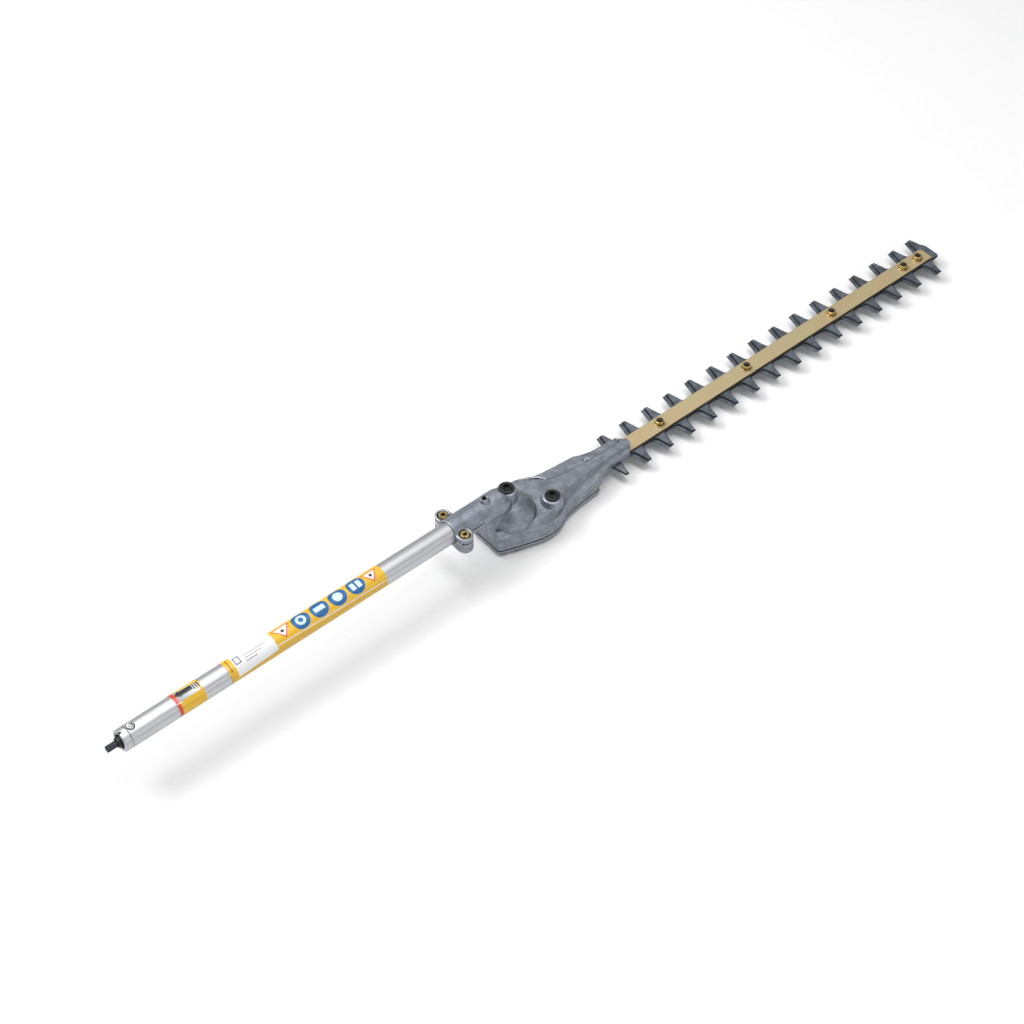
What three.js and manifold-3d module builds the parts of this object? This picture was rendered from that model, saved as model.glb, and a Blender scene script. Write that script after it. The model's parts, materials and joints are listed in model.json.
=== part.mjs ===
// Hedge trimmer attachment for a split-shaft power head: a drive tube with an inner shaft, a die-cast
// gear case and a double-sided blade whose two toothed strips slide against each other.
// Millimetres. +X runs along the tool to the blade tip, +Y to its left, +Z up from the flat blade.
import * as THREE from 'three';
import { mergeVertices } from 'three/addons/utils/BufferGeometryUtils.js';
import Module from 'manifold-3d';

const wasm = await Module();
wasm.setup();

// ---- Driving dimensions ---------------------------------------------------------------------
// x is measured from the first tooth, z from the plane where the two blades slide on each other.
const GAP = 0.3;

const tube = { r: 11, bore: 9.5, end: -594, front: -171, z: 39.6, sides: 36 };
const collar = { length: 8, bore: 7.9, spigot: 13, keyway: 2.4 };
const shaft = { r: 3.5, square: 5.2, stubEnd: -608, front: -155.2 };
const lock = { x: -581, r: 4, rise: 1.8, cupR: 3.1, floor: 4.8 };
const labels = { r: 11.1, thick: 0.25, from: -103, to: 97, arrow: [-536.5, -508], band: [-480.5, -303.5] };

const pitch = 30;
const teeth = { count: 16, tip: 28, tipHalf: 2.1, rootHalf: 5, flare: 9.5, gullet: 9.8, stagger: 15 };
const blade = {
  thick: 1.6, upperTop: 0.95, lowerTop: -0.95, rest: 2, spine: 9.8, noseX: 450, first: -4.1, lastBack: 4,
};
const bar = {
  half: 8.8, bottom: blade.upperTop + GAP, top: 3.3, rear: -80, front: 441, rootHalf: 10, rootFront: 0,
};
const bolts = { x: [51.5, 172.5, 296, 405, 427], r: 2.5, bushR: 3.5, slotHalf: 3.8, headR: 5.5, tip: 10 };

const crank = { x: -113.25, ecc: 7.5, discR: 12, shaftR: 4, turn: THREE.MathUtils.degToRad(24) };
const yoke = { halfX: 13.8, halfY: 19.8, rim: 3.5 };
const spur = { module: 1.5, pinion: 11, wheel: 34, z0: 2.6, z1: 8.6 };
const bevel = { module: 1.25, pinion: 15, wheel: 20, face: 5, x: -147 };

const neck = { r: 13.4, rear: -222, front: -150, bearing: 11.3 };
const ear = { x: -215, y: 16, r: 8, top: 6.8, bottom: -12, slitHalf: 0.9, slitFront: -188 };
const dome = { r: 26, base: 14, rise: 23.5 };
const parting = -5.2;
const flange = { lip: 0.9, z: -2.6 };
const cover = { top: -6.6, bottom: -10.5, front: -43 };
const rearPlug = { x: -150, y: 0, base: 50, bossR: 9.3 };
const frontPlug = { x: -107, y: -17.5, base: 23.7, bossR: 10.1 };
const locator = { x: -178, bossR: 5, top: 57 };
const coverScrews = [[-157, 21.3], [-87, 19.8], [-50, 15.8]];
const barScrews = { x: [-41, 0.5], y: 7.3, r: 1.9, headR: 2.6 };

// Sections of the casting: half width w at the parting face, shoulder height s, and the raised top
// with its feet (f) and edges (t) to the left and right of the blade line, at height h.
const sections = [
  { x: -176, w: 17.5, s: 12.5, fr: 15.5, tr: 12, fl: 15.5, tl: 12, h: 14.5 },
  { x: -173, w: 19.5, s: 12.5, fr: 17.5, tr: 14, fl: 17.5, tl: 14, h: 15 },
  { x: -155, w: 26, s: 12, fr: 24.5, tr: 20, fl: 24.5, tl: 20, h: 16 },
  { x: -132, w: 33, s: 10, fr: 31, tr: 26, fl: 31, tl: 26, h: 16 },
  { x: -121, w: 34, s: 9, fr: 32, tr: 26.5, fl: 32, tl: 26, h: 16 },
  { x: -110, w: 32.5, s: 8.5, fr: 30, tr: 25, fl: 29, tl: 22, h: 16 },
  { x: -102, w: 29, s: 8.5, fr: 26.5, tr: 21, fl: 25, tl: 16, h: 15.6 },
  { x: -95, w: 25.5, s: 8.5, fr: 23, tr: 16, fl: 19, tl: 11, h: 15 },
  { x: -84, w: 23.2, s: 8.5, fr: 19.5, tr: 12, fl: 10, tl: 5.5, h: 14.4 },
  { x: -48, w: 20, s: 8.5, fr: 13.5, tr: 8, fl: 4.5, tl: 2.5, h: 13 },
  { x: -41, w: 16.8, s: 8.5, fr: 12, tr: 7.4, fl: 4.2, tl: 2.2, h: 12.8 },
  { x: -31, w: 14, s: 8.5, fr: 10.8, tr: 6.8, fl: 4, tl: 2, h: 12.6 },
  { x: -15, w: 12.4, s: 8.5, fr: 9.8, tr: 6.2, fl: 3.8, tl: 1.8, h: 12.3 },
  { x: 7, w: 12, s: 8.3, fr: 9, tr: 5.6, fl: 3.6, tl: 1.6, h: 12 },
];

// ---- Finishes ---------------------------------------------------------------------------------
const finish = (color, roughness, metalness) => ({ color, roughness, metalness });
const finishes = {
  tube: finish(0xc9cbd0, 0.32, 0.95),
  casting: finish(0x8f959d, 0.55, 0.85),
  cover: finish(0x878d95, 0.58, 0.85),
  blade: finish(0x59636f, 0.36, 0.9),
  bar: finish(0xd3b57a, 0.42, 0.75),
  goldSteel: finish(0xc9a55a, 0.35, 0.85),
  darkSteel: finish(0x2b2d31, 0.4, 0.8),
  brightSteel: finish(0xb4b8bd, 0.3, 0.95),
  gearSteel: finish(0x6d7278, 0.35, 0.9),
  bronze: finish(0xa4763c, 0.4, 0.85),
  black: finish(0x17181a, 0.5, 0.0),
  yellow: finish(0xe6b81e, 0.45, 0.0),
  felt: finish(0x4a453d, 0.95, 0.0),
  gasket: finish(0x3a3c3e, 0.85, 0.0),
};

// ---- Solid helpers ----------------------------------------------------------------------------
// A closed three.js geometry as a manifold solid with its faces turned outwards.
function solid(geometry) {
  const bare = geometry.clone();
  bare.deleteAttribute('normal');
  bare.deleteAttribute('uv');
  const merged = mergeVertices(bare, 1e-4);
  const points = merged.attributes.position.array;
  const corners = [];
  let volume = 0;
  for (let i = 0; i < merged.index.count; i += 3) {
    const [a, b, c] = [0, 1, 2].map((k) => merged.index.getX(i + k));
    if (a === b || b === c || c === a) continue;
    corners.push([a, b, c]);
    const [p, q, r] = [a, b, c].map((k) => new THREE.Vector3().fromArray(points, 3 * k));
    volume += p.dot(q.cross(r));
  }
  const turned = volume < 0 ? corners.map(([a, b, c]) => [a, c, b]) : corners;
  const mesh = new wasm.Mesh({
    numProp: 3,
    vertProperties: new Float32Array(points),
    triVerts: new Uint32Array(turned.flat()),
  });
  return new wasm.Manifold(mesh);
}

function geometryOf(body) {
  const mesh = body.getMesh();
  const geometry = new THREE.BufferGeometry();
  geometry.setAttribute('position', new THREE.BufferAttribute(mesh.vertProperties, 3));
  geometry.setIndex(new THREE.BufferAttribute(mesh.triVerts, 1));
  geometry.computeVertexNormals();
  return geometry;
}

const join = (bodies) => bodies.reduce((all, body) => all.add(body));
const cut = (body, tools) => tools.reduce((rest, tool) => rest.subtract(tool), body);

// Upright cylinder or cone frustum between two heights.
function post(x, y, r, z0, z1, sides = 32, topR = r) {
  const geometry = new THREE.CylinderGeometry(topR, r, z1 - z0, sides);
  geometry.rotateX(Math.PI / 2);
  return solid(geometry.translate(x, y, (z0 + z1) / 2));
}

// Cylinder along the tool, on the tube's axis.
function rod(r, x0, x1, sides = 32, z = tube.z) {
  const geometry = new THREE.CylinderGeometry(r, r, x1 - x0, sides);
  geometry.rotateZ(-Math.PI / 2);
  return solid(geometry.translate((x0 + x1) / 2, 0, z));
}

function block(x0, x1, y0, y1, z0, z1) {
  const geometry = new THREE.BoxGeometry(x1 - x0, y1 - y0, z1 - z0);
  return solid(geometry.translate((x0 + x1) / 2, (y0 + y1) / 2, (z0 + z1) / 2));
}

// A flat shape seen from above, raised between two heights.
function plate(shape, z0, z1, curveSegments = 6) {
  const geometry = new THREE.ExtrudeGeometry(shape, { depth: z1 - z0, bevelEnabled: false, curveSegments });
  return solid(geometry.translate(0, 0, z0));
}

// A profile of [radius, height] points turned about an upright axis.
function turnedUpright(profile, x, y, sides = 32) {
  const geometry = new THREE.LatheGeometry(profile.map(([r, z]) => new THREE.Vector2(r, z)), sides);
  geometry.rotateX(Math.PI / 2);
  return solid(geometry.translate(x, y, 0));
}

// A profile of [radius, x] points turned about the tube's axis.
function turnedAlong(profile, sides = 32) {
  const geometry = new THREE.LatheGeometry(profile.map(([r, x]) => new THREE.Vector2(r, x)), sides);
  geometry.rotateZ(-Math.PI / 2);
  return solid(geometry.translate(0, 0, tube.z));
}

const ringProfile = (bore, r, a, b) => [[bore, a], [r, a], [r, b], [bore, b], [bore, a]];

const hexShape = (acrossFlats, x = 0, y = 0) => {
  const r = acrossFlats / Math.sqrt(3);
  const angles = [0, 1, 2, 3, 4, 5].map((k) => k * Math.PI / 3);
  return new THREE.Shape(angles.map((a) => new THREE.Vector2(x + r * Math.cos(a), y + r * Math.sin(a))));
};

const hexSocket = (x, y, acrossFlats, z0, z1) => plate(hexShape(acrossFlats, x, y), z0, z1);

// Long hole with round ends, between two end centres on one line.
function slotPath(x0, x1, half, y = 0) {
  const path = new THREE.Path();
  path.absarc(x0, y, half, Math.PI / 2, 3 * Math.PI / 2, false);
  path.absarc(x1, y, half, -Math.PI / 2, Math.PI / 2, false);
  return path;
}

// Outline made of a row of [x, y] points down the left side and its mirror up the right side.
const mirroredShape = (row) => {
  const right = row.map(([x, y]) => [x, -y]).reverse();
  return new THREE.Shape([...row, ...right].map(([x, y]) => new THREE.Vector2(x, y)));
};

// ---- The scene graph ---------------------------------------------------------------------------
const model = new THREE.Group();
const parts = new THREE.Group();
model.add(parts);

function add(name, body, look) {
  const material = new THREE.MeshStandardMaterial(finishes[look]);
  const mesh = new THREE.Mesh(geometryOf(body), material);
  mesh.name = name;
  parts.add(mesh);
}

// ---- Drive tube and its coupling end -----------------------------------------------------------
const collarFront = tube.end + collar.length;
const tubeTop = tube.z + tube.r;
const lockHole = post(lock.x, 0, lock.r + GAP, tube.z + 5, tubeTop + 3);

add('drive_tube', cut(
  turnedAlong(ringProfile(tube.bore, tube.r, collarFront + GAP, tube.front), tube.sides),
  [lockHole, post(locator.x, 0, 2.3, tube.z + 5, tubeTop + 3, 16)],
), 'tube');

const keyway = block(
  tube.end - 1, tube.end + 3, -collar.keyway / 2, collar.keyway / 2, tube.z + 5, tubeTop + 1,
);
add('tube_end_collar', cut(
  turnedAlong([
    [collar.bore, tube.end], [tube.r, tube.end], [tube.r, collarFront],
    [tube.bore - GAP, collarFront], [tube.bore - GAP, collarFront + collar.spigot],
    [collar.bore, collarFront + collar.spigot], [collar.bore, tube.end],
  ], tube.sides),
  [lockHole, keyway],
), 'tube');

const bushR = collar.bore - GAP;
const lockFloor = tube.z + lock.floor;
add('tube_end_bush', cut(
  turnedAlong([
    [shaft.r + GAP, tube.end - 3], [5.2, tube.end - 3], [5.6, tube.end + 0.6], [bushR, tube.end + 0.6],
    [bushR, collarFront + collar.spigot], [shaft.r + GAP, collarFront + collar.spigot],
    [shaft.r + GAP, tube.end - 3],
  ], 24),
  [post(lock.x, 0, lock.r + GAP, lockFloor, tubeTop)],
), 'black');

const lockTop = tubeTop + lock.rise;
add('lock_button', turnedUpright([
  [0, lockTop - 2.4], [lock.cupR, lockTop - 2.4], [lock.cupR, lockFloor + lock.rise],
  [lock.r, lockFloor + lock.rise], [lock.r, lockTop - 1.1], [lock.r - 0.9, lockTop - 0.3], [0, lockTop],
], lock.x, 0, 20), 'brightSteel');

// Coil spring under the button, wound from a wire along a helix.
class Helix extends THREE.Curve {
  constructor(r, rise, turns) {
    super();
    Object.assign(this, { r, rise, turns });
  }

  getPoint(t) {
    const angle = 2 * Math.PI * this.turns * t;
    return new THREE.Vector3(this.r * Math.cos(angle), this.r * Math.sin(angle), this.rise * t);
  }
}

const wire = new THREE.Shape([0, 1, 2, 3].map((k) => {
  const angle = k * Math.PI / 2;
  return new THREE.Vector2(0.3 * Math.cos(angle), 0.3 * Math.sin(angle));
}));
const springRise = lockTop - 2.4 - lockFloor - 1.4;
const coil = new THREE.ExtrudeGeometry(wire, { steps: 36, extrudePath: new Helix(2.4, springRise, 4) });
add('lock_spring', solid(coil.translate(lock.x, 0, lockFloor + 0.7)), 'brightSteel');

for (const [k, x] of [-470, -350, -230].entries()) {
  add(`shaft_bush_${k + 1}`, turnedAlong([
    [shaft.r + GAP, x - 9], [5.5, x - 9], [tube.bore - GAP, x - 4], [tube.bore - GAP, x + 4],
    [5.5, x + 9], [shaft.r + GAP, x + 9], [shaft.r + GAP, x - 9],
  ], 16), 'black');
}

// Stickers wrapped round the tube. Angles are from the top of the tube towards its left side.
function sticker([x0, x1]) {
  const steps = 18;
  const at = (r, k) => {
    const angle = THREE.MathUtils.degToRad(labels.from + (labels.to - labels.from) * k / steps);
    return new THREE.Vector2(r * Math.sin(angle), r * Math.cos(angle));
  };
  const rim = Array.from({ length: steps + 1 }, (_, k) => at(labels.r + labels.thick, k));
  const back = Array.from({ length: steps + 1 }, (_, k) => at(labels.r, steps - k));
  const section = new THREE.Shape([...rim, ...back]);
  const geometry = new THREE.ExtrudeGeometry(section, { depth: x1 - x0, bevelEnabled: false });
  const toTool = new THREE.Matrix4().makeBasis(
    new THREE.Vector3(0, 1, 0), new THREE.Vector3(0, 0, 1), new THREE.Vector3(1, 0, 0),
  );
  return solid(geometry.applyMatrix4(toTool).translate(x0, 0, tube.z));
}
add('arrow_label', sticker(labels.arrow), 'yellow');
add('band_label', sticker(labels.band), 'yellow');

// ---- Gear case -----------------------------------------------------------------------------------
// The casting's outer skin, lofted through its sections.
function castBody() {
  const ring = ({ x, w, s, fr, tr, fl, tl, h }) => [
    [-w, parting], [-w + 0.6, s], [-fr, s + 0.4], [-tr, h],
    [tl, h], [fl, s + 0.4], [w - 0.6, s], [w, parting],
  ].map(([y, z]) => [x, y, z]);
  const rings = sections.map(ring);
  const size = rings[0].length;
  const faces = [];
  for (let i = 0; i + 1 < rings.length; i += 1) {
    for (let k = 0; k < size; k += 1) {
      const [a, b] = [i * size + k, i * size + (k + 1) % size];
      faces.push(a, b, b + size, a, b + size, a + size);
    }
  }
  const last = (rings.length - 1) * size;
  const [rearHub, frontHub] = [rings.length * size, rings.length * size + 1];
  for (let k = 0; k < size; k += 1) {
    const next = (k + 1) % size;
    faces.push(rearHub, next, k, frontHub, last + k, last + next);
  }
  const hubs = [rings[0], rings.at(-1)].map(([[x]]) => [x, 0, 2]);
  const geometry = new THREE.BufferGeometry();
  geometry.setAttribute('position', new THREE.Float32BufferAttribute([...rings.flat(2), ...hubs.flat()], 3));
  geometry.setIndex(faces);
  return solid(geometry);
}

// The casting's plan outline, widened or narrowed by d and closed at the given front.
function planRow(d, front) {
  const wide = sections.filter(({ x }) => x < front - 2).map(({ x, w }) => [Math.max(x, -176 - d), w + d]);
  const before = sections.findLast(({ x }) => x < front - 2);
  const after = sections.find(({ x }) => x >= front);
  const share = (front - before.x) / (after.x - before.x);
  const endHalf = before.w + (after.w - before.w) * share + d;
  return [...wide, [front - 3, endHalf], [front, endHalf - 3]];
}

function ellipsoid(x, r, z, rise) {
  const geometry = new THREE.SphereGeometry(1, 28, 14);
  geometry.rotateX(Math.PI / 2);
  geometry.scale(r, r, rise);
  return solid(geometry.translate(x, 0, z));
}

const frontOfCase = 7;
const noseCut = (side) => plate(new THREE.Shape([[frontOfCase, 4], [0.5, 12.2], [0.5, 20], [20, 20], [20, 4]]
  .map(([x, y]) => new THREE.Vector2(x, side * y))), parting - 1, 20);

// Pillars that take the cover screws stay when the cavity is cleared.
const mirroredScrews = coverScrews.flatMap(([x, y]) => [[x, y], [x, -y]]);
const pillars = join(mirroredScrews.map(([x, y]) => post(x, y, 3.9, parting - 2, 7.5, 12)));

function gearCase() {
  const lip = plate(mirroredShape(planRow(flange.lip, cover.front)), parting, flange.z);
  const [earFoot, earTop] = [tube.z + ear.bottom, tube.z + ear.top];
  const ears = [-1, 1].map((side) => post(ear.x, side * ear.y, ear.r, earFoot, earTop, 24));
  const bridge = block(ear.x - ear.r, ear.x + ear.r, -ear.y, ear.y, earFoot, earTop);
  const neckOuter = turnedAlong([
    [0, neck.rear], [neck.r, neck.rear], [neck.r, neck.front - 11], [neck.r - 0.7, neck.front - 7.5],
    [neck.r - 2.4, neck.front - 4], [neck.r - 5.4, neck.front - 1], [0, neck.front],
  ], tube.sides);
  const outer = join([
    castBody(), lip, neckOuter, bridge, ...ears,
    ellipsoid(bevel.x, dome.r, dome.base, dome.rise),
    block(-176, bevel.x, -11.5, 11.5, 13, tube.z - 6),
    post(rearPlug.x, rearPlug.y, rearPlug.bossR, 30, rearPlug.base),
    post(frontPlug.x, frontPlug.y, frontPlug.bossR + 0.8, 12, frontPlug.base, 32, frontPlug.bossR),
    post(locator.x, 0, locator.bossR + 0.8, tube.z + 11, locator.top, 24, locator.bossR - 1.6),
  ]);
  // Everything lower than the parting face is cut away.
  const below = block(-240, 20, -45, 45, -40, parting);
  const chamberPlan = mirroredShape([[-172.5, 15], ...planRow(-3.6, -51).slice(2)]);
  const chamber = cut(plate(chamberPlan, parting - 1, 7), [pillars]);
  const upperPlan = mirroredShape([[-165, 14], [-155, 17], [-132, 24], [-121, 25], [-110, 22], [-98, 12]]);
  const upperRoom = plate(upperPlan, 6.9, 12.6);
  const slits = [-1, 1].map((side) => block(
    neck.rear - 1, ear.slitFront, Math.min(side * 10, side * 30), Math.max(side * 10, side * 30),
    tube.z - ear.slitHalf, tube.z + ear.slitHalf,
  ));
  const earHoles = [-1, 1].flatMap((side) => [
    post(ear.x, side * ear.y, 2.8, tube.z - 14, tube.z + 10, 14),
    post(ear.x, side * ear.y, 5.6, earTop - 4.3, tube.z + 10, 20),
  ]);
  const boreX = [
    rod(tube.r + GAP, neck.rear - 1, tube.front + GAP, tube.sides),
    turnedAlong([
      [0, tube.front - 1], [neck.bearing, tube.front - 1], [neck.bearing, neck.front - 9],
      [neck.bearing - 3.1, neck.front - 4], [0, neck.front - 4],
    ], 28),
    turnedAlong(ringProfile(neck.bearing - 1, 12.1, -163.5, -161.9), 28),
  ];
  const gearRooms = [
    post(crank.x, 0, 28.3, parting - 1, 9.6, 36),
    post(crank.x, 0, 8.4, 9, 13.9, 20),
    post(bevel.x, 0, 11.4, 9, 17.5, 24),
    post(bevel.x, 0, 13.9, 17.4, 31.6, 28),
    post(bevel.x, 0, 13.9, 31.5, 34.6, 28, 9.6),
  ];
  const ports = [
    post(rearPlug.x, 0, 4.3, 33, 60, 16),
    post(rearPlug.x, 0, 8, rearPlug.base, 60, 28),
    post(frontPlug.x, frontPlug.y, 4.3, 8, 40, 16),
    post(locator.x, 0, 2.6, tube.z + 8, 70, 12),
  ];
  const roomHalf = bar.rootHalf + GAP;
  const barRoom = block(-60, frontOfCase + 20, -roomHalf, roomHalf, parting - 1, bar.top + GAP);
  const nose = block(cover.front + 1.5, frontOfCase + 20, -20, 20, parting - 1, bar.bottom);
  const tapped = mirroredScrews.map(([x, y]) => post(x, y, 2.3, parting - 1, 5, 10));
  const nosePins = barScrews.x.map((x) => post(x, barScrews.y, barScrews.r + GAP, 0, 20, 12));
  return cut(outer, [
    below, chamber, upperRoom, ...slits, ...earHoles, ...boreX, ...gearRooms, ...ports,
    barRoom, nose, ...tapped, ...nosePins, noseCut(1), noseCut(-1),
  ]);
}
add('gear_case', gearCase(), 'casting');

const coverHoles = (r) => mirroredScrews.map(([x, y]) => post(x, y, r, cover.bottom - 1, parting + 1, 10));
const coverPlan = mirroredShape(planRow(flange.lip, cover.front));
add('case_gasket', cut(plate(coverPlan, cover.top + GAP, parting - GAP), [
  cut(plate(mirroredShape([[-172, 14.5], ...planRow(-4, -50).slice(2)]), cover.top, parting), [pillars]),
  block(-52, cover.front + 5, -11, 11, cover.top, parting),
  ...coverHoles(2.3),
]), 'gasket');

add('case_cover', cut(plate(coverPlan, cover.bottom, cover.top), [
  ...[crank.x, bevel.x].map((x) => post(x, 0, 6.8, cover.bottom + 0.9, cover.top + 1, 20)),
  ...coverHoles(2.3),
]), 'cover');

for (const [k, [x, y]] of mirroredScrews.entries()) {
  add(`cover_screw_${k + 1}`, cut(turnedUpright([
    [0, cover.bottom - 2.6], [2.6, cover.bottom - 2.6], [3.7, cover.bottom - 1.6], [3.7, cover.bottom - GAP],
    [2, cover.bottom - GAP], [2, 4.3], [0, 4.3],
  ], x, y, 12), [hexSocket(x, y, 3, cover.bottom - 3, cover.bottom - 1)]), 'darkSteel');
}

const stackFoot = blade.lowerTop - blade.thick;
add('blade_felt', block(-49.5, -45, -10, 10, cover.top + GAP, stackFoot - GAP), 'felt');

// ---- Fasteners and plugs of the case ---------------------------------------------------------------
for (const [name, side] of [['clamp_bolt_left', 1], ['clamp_bolt_right', -1]]) {
  const head = tube.z + ear.top + 0.6;
  add(name, cut(turnedUpright([
    [0, tube.z + ear.bottom - 1.5], [2.5, tube.z + ear.bottom - 1.5], [2.5, head - 4.6], [4.7, head - 4.6],
    [4.7, head - 0.6], [4.1, head], [0, head],
  ], ear.x, side * ear.y, 20), [hexSocket(ear.x, side * ear.y, 4.2, head - 2.6, head + 1)]), 'goldSteel');
}

add('locating_screw', cut(turnedUpright([
  [0, tube.z + tube.bore + 0.2], [1.6, tube.z + tube.bore + 0.2], [2, tube.z + tube.bore + 1],
  [2.3, tubeTop + 1], [2.3, locator.top + 0.4], [1.9, locator.top + 0.8], [0, locator.top + 0.8],
], locator.x, 0, 14), [hexSocket(locator.x, 0, 2.4, locator.top - 1.2, locator.top + 2)]), 'darkSteel');

function plug({ x, y, base }, stem) {
  const [foot, top] = [base + GAP, base + 3.2];
  return cut(turnedUpright([
    [0, base - stem], [3.6, base - stem], [4, base - stem + 0.6], [4, foot], [7.5, foot],
    [7.5, top - 0.9], [6.7, top], [0, top],
  ], x, y, 24), [hexSocket(x, y, 6, base - 0.6, top + 1)]);
}
add('grease_plug_rear', plug(rearPlug, 4.6), 'black');
add('grease_plug_front', plug(frontPlug, 8), 'black');

for (const [k, x] of barScrews.x.entries()) {
  add(`bar_screw_${k + 1}`, turnedUpright([
    [0, bar.bottom], [barScrews.headR, bar.bottom], [barScrews.r, bar.bottom + 1.2], [barScrews.r, 9],
    [barScrews.r - 0.5, 9.7], [0, 9.7],
  ], x, barScrews.y, 12), 'brightSteel');
}

// ---- Gears -----------------------------------------------------------------------------------------
// Half angle of an involute tooth at radius r, on a wheel of the given pitch radius.
function toothHalfAngle(r, pitchR, count, pressure, slack) {
  const baseR = pitchR * Math.cos(pressure);
  const involute = (a) => Math.tan(a) - a;
  const atRadius = Math.acos(Math.min(1, baseR / Math.max(r, baseR)));
  return Math.PI / (2 * count) + involute(pressure) - involute(atRadius) - slack / (2 * pitchR);
}

const gearCut = { pressure: THREE.MathUtils.degToRad(20), addendum: 0.85, dedendum: 1.2, slack: 0.22 };

// One tooth as [height above the pitch line, half angle] points from root to tip.
function toothPoints(pitchR, count, module) {
  const heights = [-gearCut.dedendum, 0, gearCut.addendum].map((h) => h * module);
  return heights.map((h) => [h, toothHalfAngle(pitchR + h, pitchR, count, gearCut.pressure, gearCut.slack)]);
}

function gearOutline(count, module, start) {
  const pitchR = count * module / 2;
  const flank = toothPoints(pitchR, count, module);
  const points = [];
  for (let k = 0; k < count; k += 1) {
    const centre = start + k * 2 * Math.PI / count;
    const rising = flank.map(([h, half]) => [h, centre - half]);
    const falling = flank.map(([h, half]) => [h, centre + half]).reverse();
    for (const [h, angle] of [...rising, ...falling]) points.push([pitchR + h, angle]);
  }
  return points;
}

function spurGear(x, count, start, z0, z1) {
  const shape = new THREE.Shape(gearOutline(count, spur.module, start)
    .map(([r, angle]) => new THREE.Vector2(r * Math.cos(angle), r * Math.sin(angle))));
  return plate(shape, z0, z1).translate([x, 0, 0]);
}

// Bevel gear about +Z with its pitch cone's tip at the origin and its teeth facing up to it.
function bevelGear(count, mate, start) {
  const pitchR = count * bevel.module / 2;
  const lean = Math.atan(count / mate);
  const coneLength = pitchR / Math.sin(lean);
  const virtualR = pitchR / Math.cos(lean);
  const flank = toothPoints(virtualR, count / Math.cos(lean), bevel.module);
  const shrink = (coneLength - bevel.face) / coneLength;
  const ringAt = (scale) => {
    const ring = [];
    for (let k = 0; k < count; k += 1) {
      const centre = start + k * 2 * Math.PI / count;
      const rising = flank.map(([h, half]) => [h, centre - half / Math.cos(lean)]);
      const falling = flank.map(([h, half]) => [h, centre + half / Math.cos(lean)]).reverse();
      for (const [h, angle] of [...rising, ...falling]) {
        const r = (pitchR + h * Math.cos(lean)) * scale;
        const z = -(coneLength * Math.cos(lean) - h * Math.sin(lean)) * scale;
        ring.push([r * Math.cos(angle), r * Math.sin(angle), z]);
      }
    }
    return ring;
  };
  const [heel, toe] = [ringAt(1), ringAt(shrink)];
  const size = heel.length;
  const depth = coneLength * Math.cos(lean);
  const points = [...heel, ...toe, [0, 0, -depth - 1.6], [0, 0, -depth * shrink - 0.8]];
  const faces = [];
  for (let k = 0; k < size; k += 1) {
    const next = (k + 1) % size;
    faces.push(k, next, next + size, k, next + size, k + size);
    faces.push(2 * size, next, k, 2 * size + 1, k + size, next + size);
  }
  const geometry = new THREE.BufferGeometry();
  geometry.setAttribute('position', new THREE.Float32BufferAttribute(points.flat(), 3));
  geometry.setIndex(faces);
  return solid(geometry);
}

const gearShaftBore = post(bevel.x, 0, crank.shaftR + GAP, -20, 50, 16);

// The wheel's tooth and the pinion's gap meet at the wheel's rear, under the pinion.
const wheelTeeth = bevelGear(bevel.wheel, bevel.pinion, Math.PI).translate([bevel.x, 0, tube.z]);
const wheelHub = post(bevel.x, 0, 7.5, 17.8, tube.z - 9, 20);
add('bevel_gear', cut(wheelTeeth.add(wheelHub), [gearShaftBore]), 'gearSteel');

const pinionTeeth = bevelGear(bevel.pinion, bevel.wheel, Math.PI / bevel.pinion).rotate([0, 90, 0])
  .translate([bevel.x, 0, tube.z]);
const pinionBack = bevel.x - bevel.wheel * bevel.module / 2 - 3.2;
add('bevel_pinion', cut(pinionTeeth.add(rod(6.5, pinionBack, pinionBack + 4, 20)), [
  rod(shaft.r + GAP, -180, -140, 16),
]), 'gearSteel');

add('gear_shaft', post(bevel.x, 0, crank.shaftR, cover.bottom + 1.5, tube.z - 9.5, 16), 'brightSteel');
add('spur_pinion', cut(spurGear(bevel.x, spur.pinion, Math.PI / spur.pinion, spur.z0 - 0.4, spur.z1 + 0.4), [
  gearShaftBore,
]), 'gearSteel');
add('crank_gear', cut(spurGear(crank.x, spur.wheel, 0, spur.z0, spur.z1), [
  post(crank.x, 0, crank.shaftR + GAP, -5, 20, 16),
  turnedUpright(ringProfile(9.5, 20, spur.z1 - 1.2, spur.z1 + 1), crank.x, 0, 24),
]), 'gearSteel');

// The crankshaft carries one eccentric disc for each blade, half a turn apart.
const eccentric = (sign) => [
  crank.x + sign * crank.ecc * Math.sin(crank.turn),
  -sign * crank.ecc * Math.cos(crank.turn),
];
const discSplit = (blade.lowerTop + blade.upperTop - blade.thick) / 2;
add('crankshaft', join([
  post(crank.x, 0, crank.shaftR, cover.bottom + 1.5, 13.4, 16),
  post(crank.x, 0, 7, blade.upperTop + GAP, spur.z0 - GAP, 24),
  post(...eccentric(1), crank.discR, discSplit, blade.upperTop + 0.1, 28),
  post(...eccentric(-1), crank.discR, stackFoot - 0.1, discSplit, 28),
]), 'brightSteel');

for (const [name, x, r, z0, z1] of [
  ['crank_bush_upper', crank.x, 8, 9.7, 13.6], ['gear_shaft_bearing', bevel.x, 11, 10.4, 17],
]) {
  add(name, turnedUpright(ringProfile(crank.shaftR + GAP, r, z0, z1), x, 0, 24), 'brightSteel');
}
for (const [name, x] of [['crank_bush_lower', crank.x], ['gear_shaft_bush', bevel.x]]) {
  const profile = ringProfile(crank.shaftR + GAP, 6.5, cover.bottom + 1.2, cover.top + 0.6);
  add(name, turnedUpright(profile, x, 0, 16), 'bronze');
}

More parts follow.
